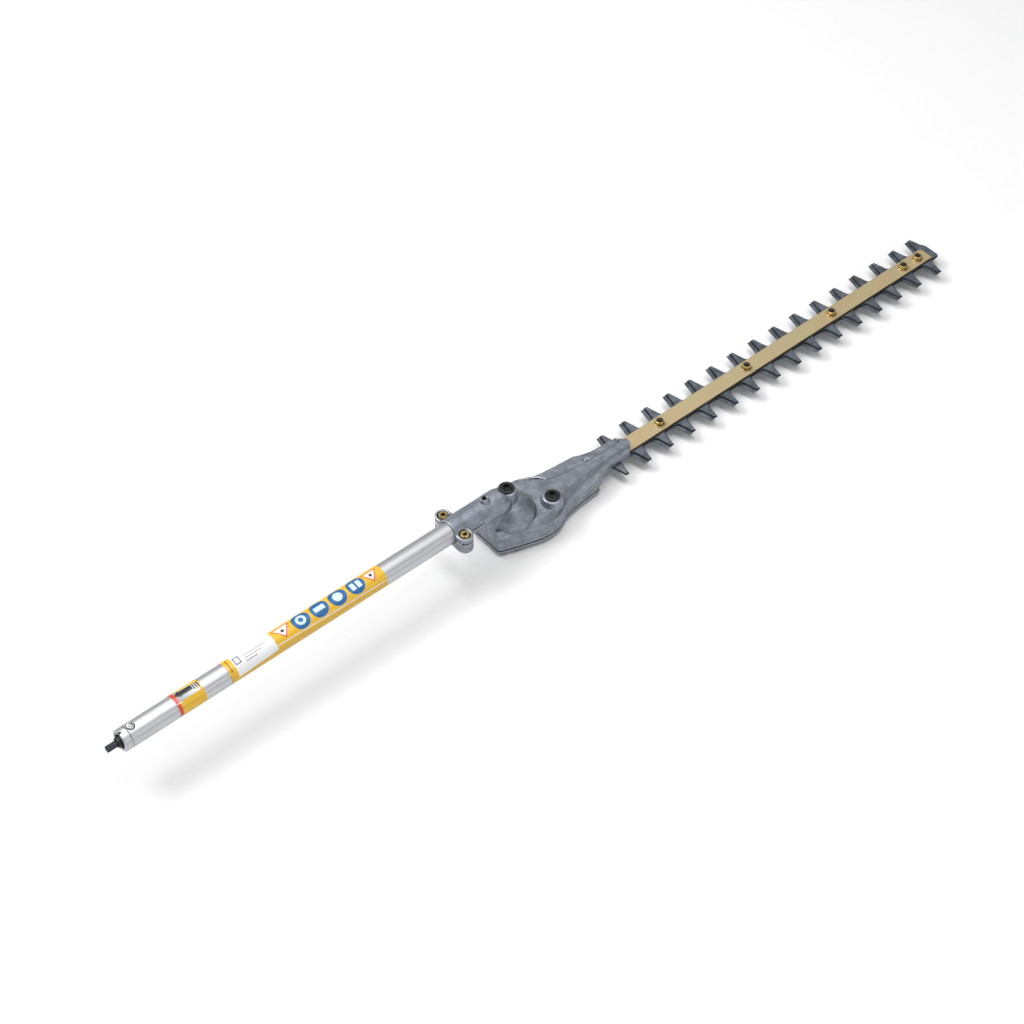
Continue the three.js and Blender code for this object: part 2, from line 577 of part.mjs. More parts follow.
add('input_bearing', turnedAlong(ringProfile(shaft.r + GAP, 11, -170.4, -163.8), 24), 'brightSteel');
add('input_bush', turnedAlong(ringProfile(shaft.r + GAP, tube.bore - GAP, -182, -172), 24), 'bronze');
add('bearing_clip', turnedAlong(ringProfile(10.4, 11.8, -163.2, -162.2), 24), 'darkSteel');

add('drive_shaft', join([
  rod(shaft.r, tube.end + 2, shaft.front, 20),
  block(shaft.stubEnd, tube.end + 3, -shaft.square / 2, shaft.square / 2,
    tube.z - shaft.square / 2, tube.z + shaft.square / 2).intersect(rod(shaft.r, -620, -580, 24)),
]), 'darkSteel');

// ---- Guide bar and blades ----------------------------------------------------------------------------
const corner = 3;
const barShape = new THREE.Shape([
  [bar.rear, -bar.rootHalf], [bar.rootFront - 2, -bar.rootHalf], [bar.rootFront, -bar.half],
  [bar.front, -bar.half], [bar.front, bar.half - corner], [bar.front - corner, bar.half],
  [bar.rootFront + 2, bar.half], [bar.rootFront, bar.rootHalf], [bar.rear, bar.rootHalf],
].map(([x, y]) => new THREE.Vector2(x, y)));
add('guide_bar', cut(plate(barShape, bar.bottom, bar.top), [
  ...bolts.x.map((x) => post(x, 0, bolts.r + GAP, -1, 6, 12)),
  ...barScrews.x.map((x) => post(x, barScrews.y, barScrews.headR + GAP, -1, 6, 12)),
]), 'bar');

// One tooth of a blade from its left gullet to its right one, as [offset, distance] points.
const toothRow = [
  [-teeth.flare, teeth.gullet], [-6.4, teeth.gullet + 1.7], [-teeth.rootHalf, 15],
  [-teeth.tipHalf, teeth.tip], [teeth.tipHalf, teeth.tip],
  [teeth.rootHalf, 15], [6.4, teeth.gullet + 1.7], [teeth.flare, teeth.gullet],
];

// A blade's outline at mid stroke moved forward by shift, with slots for the bolts and the crank.
// The lower blade has no first tooth on the right, where the case is wide.
function bladeShape(shift, travel, firstRight) {
  const left = [];
  for (let k = 0; k < teeth.count; k += 1) {
    const last = k === teeth.count - 1;
    const centre = blade.first + pitch * k - (last ? blade.lastBack : 0);
    for (const [dx, y] of last ? toothRow.slice(0, 6) : toothRow) left.push([centre + dx, y]);
  }
  left.push([blade.noseX - 1, 12], [blade.noseX, 8], [blade.noseX, -6.5], [blade.noseX - 3, -teeth.gullet]);
  const right = [];
  for (let k = teeth.count - 1; k >= firstRight; k -= 1) {
    const centre = blade.first - teeth.stagger + pitch * k;
    for (const [dx, y] of toothRow.toReversed()) right.push([centre + dx, -y]);
  }
  const shape = new THREE.Shape([...left, ...right].map(([x, y]) => new THREE.Vector2(x + shift, y)));
  // The rounded yoke at the rear, joined to the spine by a waist.
  const [endR, straight] = [yoke.halfX + yoke.rim, yoke.halfY - yoke.halfX];
  const centre = crank.x + shift;
  const join0 = centre + Math.sqrt(endR ** 2 - (blade.spine - straight) ** 2);
  shape.lineTo(join0 + 8, -blade.spine);
  shape.absarc(centre, -straight, endR, Math.asin((straight - blade.spine) / endR), -Math.PI, true);
  shape.absarc(centre, straight, endR, Math.PI, Math.asin((blade.spine - straight) / endR), true);
  shape.lineTo(join0 + 8, blade.spine);

  const window = new THREE.Path();
  window.absarc(centre, -straight, yoke.halfX, -Math.PI, 0, false);
  window.absarc(centre, straight, yoke.halfX, 0, Math.PI, false);
  shape.holes.push(window);
  const [back, ahead] = travel;
  for (const [first, last] of [[0, 0], [1, 1], [2, 2], [3, 4]]) {
    shape.holes.push(slotPath(bolts.x[first] - ahead, bolts.x[last] - back, bolts.slotHalf));
  }
  return shape;
}
// Travel of each blade from rest to its rear and front ends of stroke.
const strokes = { upper: [-9.5, 5.5], lower: [-5.5, 9.5] };
for (const [name, shift, travel, top, firstRight] of [
  ['upper_blade', blade.rest, strokes.upper, blade.upperTop, 0],
  ['lower_blade', -blade.rest, strokes.lower, blade.lowerTop, 1],
]) {
  add(name, plate(bladeShape(shift, travel, firstRight), top - blade.thick, top), 'blade');
}

for (const [k, x] of bolts.x.entries()) {
  const under = stackFoot - GAP;
  add(`blade_bolt_${k + 1}`, turnedUpright([
    [0, under - 2.8], [3.6, under - 2.8], [bolts.headR, under - 1.4], [bolts.headR, under],
    [bolts.r, under], [bolts.r, bolts.tip - 1.6], [bolts.r - 0.8, bolts.tip - 0.4], [0, bolts.tip],
  ], x, 0, 14), 'darkSteel');
  add(`blade_bush_${k + 1}`, turnedUpright(
    ringProfile(bolts.r + GAP, bolts.bushR, under + 0.1, bar.bottom - 0.2), x, 0, 14,
  ), 'brightSteel');
  const washer = post(x, 0, 5.4, bar.top + GAP, bar.top + 1.5, 18, 4.9);
  const nut = plate(hexShape(8, x, 0), bar.top + 1.4, bar.top + 4.8);
  add(`blade_nut_${k + 1}`, cut(washer.add(nut), [post(x, 0, bolts.r + GAP, 0, 20, 12)]), 'goldSteel');
}

// The origin is midway along and across the tool, on the surface that it lies on.
const bounds = new THREE.Box3().setFromObject(parts);
const middle = bounds.getCenter(new THREE.Vector3());
parts.position.set(-middle.x, -middle.y, -bounds.min.z);

export default model;
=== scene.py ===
"""Hedge trimmer attachment: its finished pieces and their finishes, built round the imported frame.

Lengths are metres in the frame's axes: +X runs to the blade tip, +Y to the left and +Z up.
"""
import json
import math

import bmesh
import bpy
import numpy as np
from mathutils import Euler, Matrix, Vector


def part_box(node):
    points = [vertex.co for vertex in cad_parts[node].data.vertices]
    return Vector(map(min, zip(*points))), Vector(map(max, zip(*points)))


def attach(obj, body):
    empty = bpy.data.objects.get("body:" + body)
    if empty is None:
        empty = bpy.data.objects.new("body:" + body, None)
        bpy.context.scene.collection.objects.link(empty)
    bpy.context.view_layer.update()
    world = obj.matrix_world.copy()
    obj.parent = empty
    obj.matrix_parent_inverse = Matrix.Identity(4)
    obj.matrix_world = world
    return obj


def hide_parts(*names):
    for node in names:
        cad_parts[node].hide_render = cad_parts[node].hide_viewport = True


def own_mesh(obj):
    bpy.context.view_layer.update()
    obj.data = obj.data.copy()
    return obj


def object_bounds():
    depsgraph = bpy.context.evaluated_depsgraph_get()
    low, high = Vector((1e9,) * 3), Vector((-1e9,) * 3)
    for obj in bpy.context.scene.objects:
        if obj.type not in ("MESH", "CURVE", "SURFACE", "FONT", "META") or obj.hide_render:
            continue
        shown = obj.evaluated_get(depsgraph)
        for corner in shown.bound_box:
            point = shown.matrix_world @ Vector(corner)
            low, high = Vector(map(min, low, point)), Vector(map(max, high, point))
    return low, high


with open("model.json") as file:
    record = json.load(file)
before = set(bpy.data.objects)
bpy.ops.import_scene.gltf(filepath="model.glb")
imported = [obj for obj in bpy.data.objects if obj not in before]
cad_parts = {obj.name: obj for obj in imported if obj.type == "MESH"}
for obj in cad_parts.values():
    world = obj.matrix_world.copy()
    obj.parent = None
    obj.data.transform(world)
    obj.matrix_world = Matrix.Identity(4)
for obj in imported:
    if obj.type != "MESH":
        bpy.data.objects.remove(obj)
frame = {"nodes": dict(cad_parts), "record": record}
CAD_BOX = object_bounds()

bl_info = {
    "name": "Hedge trimmer attachment",
    "version": (1, 0, 0),
    "blender": (4, 5, 0),
    "location": "3D View > Sidebar > Trimmer",
    "description": "Builds the finished pieces of a hedge trimmer attachment round its packed frame",
    "category": "Object",
}

MM = 0.001
TURN = 2 * math.pi

# ---- Places read from the frame ------------------------------------------------------------------


def middle(node):
    """The middle of a frame node's box."""
    low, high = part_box(node)
    return (low + high) / 2


def numbered(stem, count):
    """The names of a row of like nodes."""
    return [f"{stem}_{k + 1}" for k in range(count)]


GULLETS = {o["name"]: o["box_m"] for o in frame["record"]["physics"]["openings"]}


def gullet_x(name):
    """Where the middle of a gullet between two teeth lies along the tool."""
    low, high = GULLETS[name]
    return (low[0] + high[0]) / 2


TUBE_LOW, TUBE_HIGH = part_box("drive_tube")
AXIS_Z = middle("drive_tube").z
TUBE_R = (TUBE_HIGH.z - TUBE_LOW.z) / 2
TUBE_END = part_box("tube_end_collar")[0].x
HOLE_LOW, HOLE_HIGH = AXIS_Z + 5 * MM, AXIS_Z + 20 * MM     # reach of a drill through the tube's top
LOCK_HOLE_R = 4.3 * MM
FILM_START, FILM_END = math.radians(-103), math.radians(97)  # where a film starts and ends round the tube
PITCH = gullet_x("left_gullet_2") - gullet_x("left_gullet_1")
UPPER_LOW, UPPER_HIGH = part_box("upper_blade")
LOWER_LOW, LOWER_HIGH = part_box("lower_blade")
BLADE_LEAD = (UPPER_LOW.x - LOWER_LOW.x) / 2
BOLT_X = [middle(n).x for n in numbered("blade_bolt", 5)]
BAR_LOW, BAR_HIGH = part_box("guide_bar")

# ---- Settings ------------------------------------------------------------------------------------


class TRIMMER_PG_case(bpy.types.PropertyGroup):
    """How the castings are finished."""

    grain: bpy.props.FloatProperty(
        name="Mesh grain", description="Size of the mesh that carries the cast surface",
        default=0.65 * MM, min=0.4 * MM, unit="LENGTH")
    rounding: bpy.props.IntProperty(
        name="Rounding", description="Smoothing steps that round the cast edges", default=3, min=0)
    tint: bpy.props.FloatVectorProperty(
        name="Casting colour", description="Colour of the bare die casting", subtype="COLOR",
        size=3, default=(0.25, 0.275, 0.315), min=0, max=1)


class TRIMMER_PG_blade(bpy.types.PropertyGroup):
    """The toothed blades and the bar between their bolts."""

    tooth_half: bpy.props.FloatProperty(
        name="Tooth tip half width", description="Half of a tooth's width at its tip",
        default=2.1 * MM, unit="LENGTH")
    bevel: bpy.props.FloatProperty(
        name="Ground bevel", description="Width of the ground bevel along a tooth's edges",
        default=0.95 * MM, unit="LENGTH")
    steel: bpy.props.FloatVectorProperty(
        name="Blade colour", description="Colour of the blued blade steel", subtype="COLOR",
        size=3, default=(0.15, 0.172, 0.205), min=0, max=1)
    bar: bpy.props.FloatVectorProperty(
        name="Bar colour", description="Colour of the passivated guide bar", subtype="COLOR",
        size=3, default=(0.58, 0.475, 0.27), min=0, max=1)


class TRIMMER_PG_label(bpy.types.PropertyGroup):
    """Colours of the printed film on the tube."""

    film: bpy.props.FloatVectorProperty(
        name="Film", description="Ground colour of the printed film", subtype="COLOR",
        size=3, default=(0.80, 0.47, 0.012), min=0, max=1)
    disc: bpy.props.FloatVectorProperty(
        name="Disc", description="Colour of the printed discs", subtype="COLOR",
        size=3, default=(0.002, 0.125, 0.34), min=0, max=1)
    accent: bpy.props.FloatVectorProperty(
        name="Accent", description="Colour of the printed bands and outlines", subtype="COLOR",
        size=3, default=(0.66, 0.045, 0.01), min=0, max=1)


class TRIMMER_PG_stage(bpy.types.PropertyGroup):
    """The floor, the light and the camera."""

    floor: bpy.props.FloatProperty(
        name="Floor brightness", description="How pale the floor is", default=0.9, min=0, max=1)
    lens: bpy.props.FloatProperty(
        name="Lens", description="Focal length of the camera", default=85.8, unit="CAMERA")


# ---- Node building -------------------------------------------------------------------------------


class Wire:
    """A node's output, on which Python's operators build Math nodes."""

    def __init__(self, graph, socket):
        self.graph = graph
        self.socket = socket

    def maths(self, operation, *values):
        return self.graph.node("ShaderNodeMath", {"operation": operation}, dict(enumerate(values)))

    def __add__(self, other):
        return self.maths("ADD", self, other)

    __radd__ = __add__

    def __sub__(self, other):
        return self.maths("SUBTRACT", self, other)

    def __rsub__(self, other):
        return self.maths("SUBTRACT", other, self)

    def __mul__(self, other):
        return self.maths("MULTIPLY", self, other)

    __rmul__ = __mul__

    def __truediv__(self, other):
        return self.maths("DIVIDE", self, other)

    def __pow__(self, other):
        return self.maths("POWER", self, other)

    def __abs__(self):
        return self.maths("ABSOLUTE", self)

    def lowest(self, other):
        return self.maths("MINIMUM", self, other)

    def highest(self, other):
        return self.maths("MAXIMUM", self, other)


class Graph:
    """A node tree with one method that adds any node."""

    def __init__(self, tree):
        self.tree = tree

    def node(self, kind, settings=None, inputs=None, output=0):
        made = self.tree.nodes.new(kind)
        for name, value in (settings or {}).items():
            if name == "stops":
                self.set_stops(made.color_ramp, value)
            else:
                setattr(made, name, value)
        for key, value in (inputs or {}).items():
            for one in value if isinstance(value, list) else [value]:
                if isinstance(one, Wire):
                    self.tree.links.new(one.socket, made.inputs[key])
                else:
                    made.inputs[key].default_value = one
        return Wire(self, made.outputs[output]) if made.outputs else made

    @staticmethod
    def set_stops(ramp, stops):
        while len(ramp.elements) < len(stops):
            ramp.elements.new(0.5)
        for element, (place, level) in zip(ramp.elements, stops):
            element.position = place
            element.color = (level, level, level, 1)


class Finish(Graph):
    """A material being built. Its patterns read the piece's own coordinates."""

    def __init__(self, name):
        self.material = bpy.data.materials.new(name)
        self.material.use_nodes = True
        super().__init__(self.material.node_tree)
        self.tree.nodes.clear()
        self.place = self.node("ShaderNodeTexCoord", output=3)

    def noise(self, size, detail=3.0, rough=0.55, stretch=(1, 1, 1), place=None):
        """Noise from 0 to 1 whose lumps are about one size across, drawn out along an axis."""
        where = self.node("ShaderNodeMapping", inputs={
            "Vector": place or self.place, "Scale": tuple(1 / (size * s) for s in stretch)})
        return self.node("ShaderNodeTexNoise", inputs={
            "Vector": where, "Scale": 1.0, "Detail": detail, "Roughness": rough})

    def step(self, value, low, high):
        """0 below low, 1 above high, smooth between."""
        return self.node("ShaderNodeMapRange", {"interpolation_type": "SMOOTHSTEP"}, {
            "Value": value, "From Min": low, "From Max": high})

    def mix(self, share, first, second):
        """A colour between two others. The sockets are those of the node's colour mode."""
        def full(colour):
            return colour if isinstance(colour, Wire) else (*colour, 1)
        return self.node("ShaderNodeMix", {"data_type": "RGBA"}, {
            0: share, 6: full(first), 7: full(second)}, 2)

    def axes(self, place=None):
        """The three coordinates of a place, one Wire each."""
        parts = self.tree.nodes.new("ShaderNodeSeparateXYZ")
        self.tree.links.new((place or self.place).socket, parts.inputs[0])
        return [Wire(self, socket) for socket in parts.outputs]

    def attribute(self, name):
        """The number that the mesh stores under a name."""
        return self.node("ShaderNodeAttribute", {"attribute_name": name}, output=2)

    def bump(self, height, strength, depth, under=None):
        inputs = {"Height": height, "Strength": strength, "Distance": depth}
        if under:
            inputs["Normal"] = under
        return self.node("ShaderNodeBump", inputs=inputs)

    def close(self, colour, roughness, metallic, normal, **plain):
        """Joins the finish's patterns to the shader and returns the material."""
        inputs = {"Base Color": colour, "Roughness": roughness, "Metallic": metallic, "Normal": normal}
        inputs.update({name.replace("_", " "): value for name, value in plain.items()})
        shader = self.node("ShaderNodeBsdfPrincipled", inputs=inputs)
        self.node("ShaderNodeOutputMaterial", inputs={"Surface": shader})
        return self.material


# ---- Finishes ------------------------------------------------------------------------------------


def cast_aluminium(name, tint):
    """Satin die casting: blotchy grey-blue, lighter on convex edges from rubbed wear and painted highlight,
    with painted shade in the corners.
    """
    f = Finish(name)
    blotch = f.noise(9 * MM, 5, 0.62)
    flow = f.noise(3 * MM, 5, 0.65, (2.5, 1, 1))
    grain = f.noise(0.55 * MM, 2, 0.5)
    edge = f.attribute("edge")
    # Lighter convex edges: partly rubbed wear, partly painted highlight.
    rubbed = f.step(edge + flow * 0.22, 0.28, 0.55)
    # Painted shade: concave corners darkened nearly to black.
    painted_corner_shade = f.step(0 - edge + blotch * 0.12, 0.12, 0.5)
    dark, light = [tuple(c * k for c in tint) for k in (0.74, 1.35)]
    skin = f.mix(f.step(blotch * 0.6 + flow * 0.4, 0.32, 0.68), dark, light)
    speck = f.mix(f.step(grain, 0.62, 0.75) * 0.35, skin, tuple(min(1, c * 1.9) for c in tint))
    wear_and_painted_highlight = f.mix(rubbed * 0.55, speck, (0.46, 0.48, 0.52))
    colour = f.mix(painted_corner_shade * 0.7, wear_and_painted_highlight, (0.05, 0.055, 0.065))
    roughness = 0.46 + blotch * 0.14 - rubbed * 0.16 + painted_corner_shade * 0.12
    coarse = f.bump(flow, 0.25, 0.5 * MM)
    return f.close(colour, roughness, 0.82, f.bump(grain, 0.35, 0.12 * MM, coarse), Specular_IOR_Level=0.5)


def anodised_tube(name):
    """Drawn and anodised tube: pale silver with fine lines along it and a few faint scuffs."""
    f = Finish(name)
    drawn = f.noise(0.5 * MM, 4, 0.6, (260, 1, 1))
    broad = f.noise(7 * MM, 3, 0.5, (12, 1, 1))
    scuff = f.step(f.noise(2.2 * MM, 5, 0.7, (5, 1, 1)), 0.66, 0.74)
    tone = f.mix(drawn * 0.6 + broad * 0.4, (0.42, 0.43, 0.45), (0.66, 0.67, 0.69))
    colour = f.mix(scuff * 0.3, tone, (0.36, 0.37, 0.40))
    roughness = 0.36 + drawn * 0.12 + scuff * 0.12 + broad * 0.05
    return f.close(colour, roughness, 0.93, f.bump(drawn, 0.2, 0.03 * MM))


def blued_steel(name, steel):
    """Ground and blued tool steel: grinding lines across the strip, with a painted dark reflection on the
    bevels and side faces, which are also a little smoother.
    """
    f = Finish(name)
    lines = f.noise(0.35 * MM, 3, 0.55, (1, 60, 1))
    tint = f.noise(9 * MM, 4, 0.6)
    edge = f.attribute("ground")
    base = f.mix(f.step(tint, 0.35, 0.7), tuple(c * 0.75 for c in steel), tuple(c * 1.6 for c in steel))
    brushed = f.mix(lines * 0.3, base, (0.30, 0.34, 0.39))
    # Painted dark reflection: bevels and side faces nearly black.
    colour = f.mix(edge * 0.92, brushed, f.mix(lines, (0.012, 0.013, 0.016), (0.05, 0.055, 0.066)))
    roughness = 0.3 + tint * 0.12 + lines * 0.12 - edge * 0.1
    return f.close(colour, roughness, 0.88, f.bump(lines, 0.22, 0.03 * MM))


def passivated_bar(name, tone):
    """Yellow-passivated steel strip: tan gold with pink and green blooms and lines along it, and painted
    shade on its side faces.
    """
    f = Finish(name)
    bloom = f.noise(22 * MM, 3, 0.5, (2, 1, 1))
    second = f.noise(13 * MM, 4, 0.6, (3, 1, 1))
    lines = f.noise(0.5 * MM, 4, 0.6, (120, 1, 1))
    scratch = f.step(f.noise(0.9 * MM, 4, 0.7, (30, 1, 1)), 0.7, 0.76)
    rosy = (tone[0] * 1.03, tone[1] * 0.95, tone[2] * 0.96)
    green = (tone[0] * 0.93, tone[1] * 1.02, tone[2] * 0.92)
    warm = f.mix(f.step(bloom, 0.42, 0.62), tone, rosy)
    mixed = f.mix(f.step(second, 0.5, 0.68) * 0.8, warm, green)
    lined = f.mix(lines * 0.2, mixed, (0.80, 0.70, 0.48))
    scratched = f.mix(scratch * 0.3, lined, (0.45, 0.36, 0.2))
    # Painted shade: the bar's side faces nearly black.
    colour = f.mix(f.attribute("ground") * 0.85, scratched, (0.035, 0.03, 0.022))
    roughness = 0.38 + second * 0.1 + lines * 0.08 + scratch * 0.1
    return f.close(colour, roughness, 0.62, f.bump(lines, 0.18, 0.03 * MM))


def plated(name, tone, shine, size=2 * MM, metallic=0.95):
    """Plated or turned small steel: mottled tone, fine grain, a rubbed film and painted shade in its marked
    recesses.
    """
    f = Finish(name)
    mottle = f.noise(size, 4, 0.6)
    grain = f.noise(0.3 * MM, 2, 0.5)
    dull = tuple(c * 0.68 for c in tone)
    colour = f.mix(f.step(mottle, 0.35, 0.68), dull, tuple(min(1, c * 1.18) for c in tone))
    # Painted shade: marked recesses darkened nearly to black.
    colour = f.mix(f.attribute("recess") * 0.93, colour, (0.01, 0.009, 0.008))
    roughness = shine + mottle * 0.14 + grain * 0.08
    return f.close(colour, roughness, metallic, f.bump(grain, 0.25, 0.04 * MM))


def moulded(name, tone, gloss):
    """Moulded plastic or rubber with a fine spark-eroded grain and dusty patches."""
    f = Finish(name)
    grain = f.noise(0.4 * MM, 2, 0.5)
    dust = f.noise(4 * MM, 5, 0.65)
    colour = f.mix(f.step(dust, 0.45, 0.8) * 0.5, tone, tuple(c * 2.2 + 0.01 for c in tone))
    return f.close(colour, gloss + dust * 0.15, 0.0, f.bump(grain, 0.4, 0.06 * MM))


def pressed_fibre(name, tone, size):
    """Felt or gasket sheet: matted fibres with lighter strands."""
    f = Finish(name)
    strands = f.noise(size, 6, 0.75, (4, 1, 1))
    fluff = f.noise(size * 3, 4, 0.6)
    colour = f.mix(f.step(strands, 0.4, 0.7), tone, tuple(c * 2.1 for c in tone))
    return f.close(colour, 0.82 + fluff * 0.12, 0.0, f.bump(strands, 0.7, 0.2 * MM))


class Print(Finish):
    """Printed film. Its pattern reads the wrap map: u along the tube and v round it, in metres."""

    def __init__(self, name):
        super().__init__(name)
        self.wrap = self.node("ShaderNodeUVMap", {"uv_map": "wrap"})
        self.u, self.v, _ = self.axes(self.wrap)

    def inside(self, value, low, high):
        """1 between two values and 0 outside them, with soft ends."""
        soft = 0.12 * MM
        return self.step(value, low - soft, low + soft) * (1 - self.step(value, high - soft, high + soft))

    def bar(self, u0, u1, v0, v1):
        return self.inside(self.u, u0, u1) * self.inside(self.v, v0, v1)

    def disc(self, u, v, radius):
        along, around = self.u - u, self.v - v
        far = (along * along + around * around) ** 0.5
        soft = 0.15 * MM
        return 1 - self.step(far, radius - soft, radius + soft)

    def triangle(self, u, apex, base, half):
        """A triangle that points down the tube's side, as the distance inside its nearest side."""
        height = base - apex
        slanted = ((self.v - apex) * half - abs(self.u - u) * height) / math.hypot(height, half)
        return slanted.lowest(base - self.v)

    def printed(self, colour):
        """The film over the colour: a clear coat with faint ripples and rubbed patches."""
        rubbed = self.noise(3 * MM, 5, 0.65)
        ripple = self.noise(9 * MM, 2, 0.5)
        aged = self.mix(self.step(rubbed, 0.55, 0.8) * 0.12, colour, (0.75, 0.73, 0.66))
        return self.close(aged, 0.30 + rubbed * 0.16, 0.0, self.bump(ripple, 0.15, 0.1 * MM),
                          Coat_Weight=0.35, Coat_Roughness=0.12)


def arrow_print(name, colours, length, lower):
    """Yellow film with a red end band and a black arrow on a grey wedge, pointing to the tube's end."""
    f = Print(name)
    white, grey, ink = (0.80, 0.80, 0.80), (0.30, 0.31, 0.35), (0.012, 0.012, 0.014)
    soft = 0.1 * MM
    band = 3.4 * MM
    wedge_top = 6.2 * MM - f.u * 0.1
    wedge = f.inside(f.u, band, length - 2.5 * MM) * f.step(f.v, -6.2 * MM, -5.9 * MM)
    wedge = wedge * (1 - f.step(f.v - wedge_top, -soft, soft))
    fade = f.step(f.u, 3 * MM, length)
    colour = f.mix(wedge, colours.film, f.mix(fade, grey, white))
    shaft = f.bar(7 * MM, 21 * MM, -2 * MM, 3.6 * MM)
    point = 2.6 * MM
    past_side = abs(f.v - 1.2 * MM) - (f.u - point) * 0.75
    head = f.inside(f.u, point, 8.4 * MM) * (1 - f.step(past_side, -soft, soft))
    arrow = shaft.highest(head)
    for k in range(3):
        start = (21.7 + 2.3 * k) * MM
        arrow = arrow.highest(f.bar(start, start + 1.4 * MM, -3.4 * MM, 3.6 * MM))
    colour = f.mix(arrow, colour, ink)
    colour = f.mix(f.inside(f.u, 0, band), colour, colours.accent)
    colour = f.mix(f.bar(0, 6 * MM, -7.2 * MM, -6.3 * MM), colour, white)
    hem = 1 - f.step(f.v, lower, lower + 0.6 * MM)
    return f.printed(f.mix(hem, colour, tuple(c * 0.6 for c in colours.film)))


def band_print(name, colours, length):
    """Yellow film with a white patch, four discs, two edged triangles and a pale line along it."""
    f = Print(name)
    white, ink = (0.86, 0.87, 0.88), (0.015, 0.015, 0.018)
    film, disc = tuple(colours.film), tuple(colours.disc)
    colour = film
    row = -1.2 * MM
    first, gap, radius = 84.3 * MM, 21 * MM, 9.2 * MM
    for k in range(4):
        u = first + k * gap
        colour = f.mix(f.disc(u, row, radius), colour, disc)
        # A plain pale mark of its own in each disc: a ring, a bar, a dot and a pair of bars.
        marks = [
            f.disc(u, row, 5.2 * MM) * (1 - f.disc(u, row, 2.4 * MM)),
            f.bar(u - 5.6 * MM, u + 5.6 * MM, row - 2.6 * MM, row + 2.6 * MM),
            f.disc(u, row, 4.9 * MM),
            f.bar(u - 5.6 * MM, u - 1 * MM, row - 4 * MM, row + 4 * MM).highest(
                f.bar(u + 1 * MM, u + 5.6 * MM, row - 4 * MM, row + 4 * MM)),
        ]
        colour = f.mix(marks[k], colour, (0.62, 0.74, 0.83))
    for u, base, half in ((64 * MM, 5 * MM, 10 * MM), (165 * MM, 4 * MM, 8.5 * MM)):
        depth = f.triangle(u, -8.2 * MM, base, half)
        colour = f.mix(f.step(depth, -0.1 * MM, 0.1 * MM), colour, colours.accent)
        colour = f.mix(f.step(depth, 0.9 * MM, 1.1 * MM), colour, white)
        colour = f.mix(f.disc(u, row + 0.4 * MM, 1.7 * MM), colour, ink)
    patch_end = 52 * MM
    foot = f.v - (f.u - patch_end) * 0.057
    patch = f.inside(f.u, 8 * MM, patch_end) * f.step(foot, -14.3 * MM, -14.0 * MM)
    colour = f.mix(patch, colour, white)
    for k in range(3):
        line = f.bar(20 * MM, (44 - 6 * k) * MM, (-1.2 - 3 * k) * MM, (-0.4 - 3 * k) * MM)
        colour = f.mix(line * 0.8, colour, (0.05, 0.05, 0.06))
    colour = f.mix(f.bar(9.5 * MM, 16 * MM, -5.5 * MM, 2.5 * MM) * 0.8, colour, ink)
    colour = f.mix(f.bar(10.8 * MM, 14.7 * MM, -4.2 * MM, 1.2 * MM), colour, white)
    colour = f.mix(f.bar(3 * MM, 4.2 * MM, -9 * MM, 6 * MM), colour, tuple(c * 0.35 for c in film))
    drift = f.v + (f.u - patch_end) * 0.022
    pale = f.inside(drift, -11.3 * MM, -10.1 * MM) * f.inside(f.u, patch_end, length)
    colour = f.mix(pale * 0.75, colour, white)
    low = 1 - f.step(f.v, -15.5 * MM, -12.5 * MM)
    return f.printed(f.mix(low * 0.45 * (1 - patch), colour, tuple(c * 0.7 for c in film)))


def paper_floor(name, level):
    """Matt paper with a faint mottle."""
    f = Finish(name)
    mottle = f.noise(60 * MM, 3, 0.5)
    colour = f.mix(mottle, (level * 0.985,) * 3, (level,) * 3)
    return f.close(colour, 0.85 + mottle * 0.1, 0.0, f.bump(mottle, 0.02, 0.1 * MM), Specular_IOR_Level=0.1)


MATERIALS = {}


def finish_of(slot):
    """The finish of one material slot, made when it is first asked for."""
    if slot not in MATERIALS:
        case, blade = bpy.context.scene.trimmer_case, bpy.context.scene.trimmer_blade
        recipes = {
            "tube": lambda: anodised_tube("anodised_tube"),
            "casting": lambda: cast_aluminium("gear_case_casting", case.tint),
            "cover": lambda: cast_aluminium("cover_casting", tuple(c * 0.92 for c in case.tint)),
            "gasket": lambda: pressed_fibre("gasket_sheet", (0.035, 0.037, 0.042), 0.5 * MM),
            "blade": lambda: blued_steel("blued_blade_steel", blade.steel),
            "bar": lambda: passivated_bar("passivated_bar", blade.bar),
            "gold_steel": lambda: plated("gold_plated_steel", (0.62, 0.47, 0.20), 0.22),
            "dark_steel": lambda: plated("black_oxide_steel", (0.03, 0.031, 0.037), 0.24, metallic=0.7),
            "bright_steel": lambda: plated("bright_steel", (0.50, 0.51, 0.54), 0.2, 9 * MM),
            "gear_steel": lambda: plated("gear_steel", (0.33, 0.34, 0.36), 0.3),
            "bronze": lambda: plated("sintered_bronze", (0.48, 0.28, 0.11), 0.36),
            "black_plastic": lambda: moulded("black_moulding", (0.006, 0.006, 0.007), 0.28),
            "felt": lambda: pressed_fibre("oiled_felt", (0.09, 0.08, 0.065), 0.4 * MM),
        }
        MATERIALS[slot] = recipes[slot]()
    return MATERIALS[slot]


# ---- Mesh building -------------------------------------------------------------------------------


def form_of(points, faces):
    """An open form with the given corners and faces."""
    form = bmesh.new()
    corners = [form.verts.new(p) for p in points]
    for face in faces:
        form.faces.new([corners[k] for k in face])
    return form


def mesh_of(name, form):
    """The plain mesh of a form, which is then let go."""
    mesh = bpy.data.meshes.new(name)
    form.to_mesh(mesh)
    form.free()
    return mesh


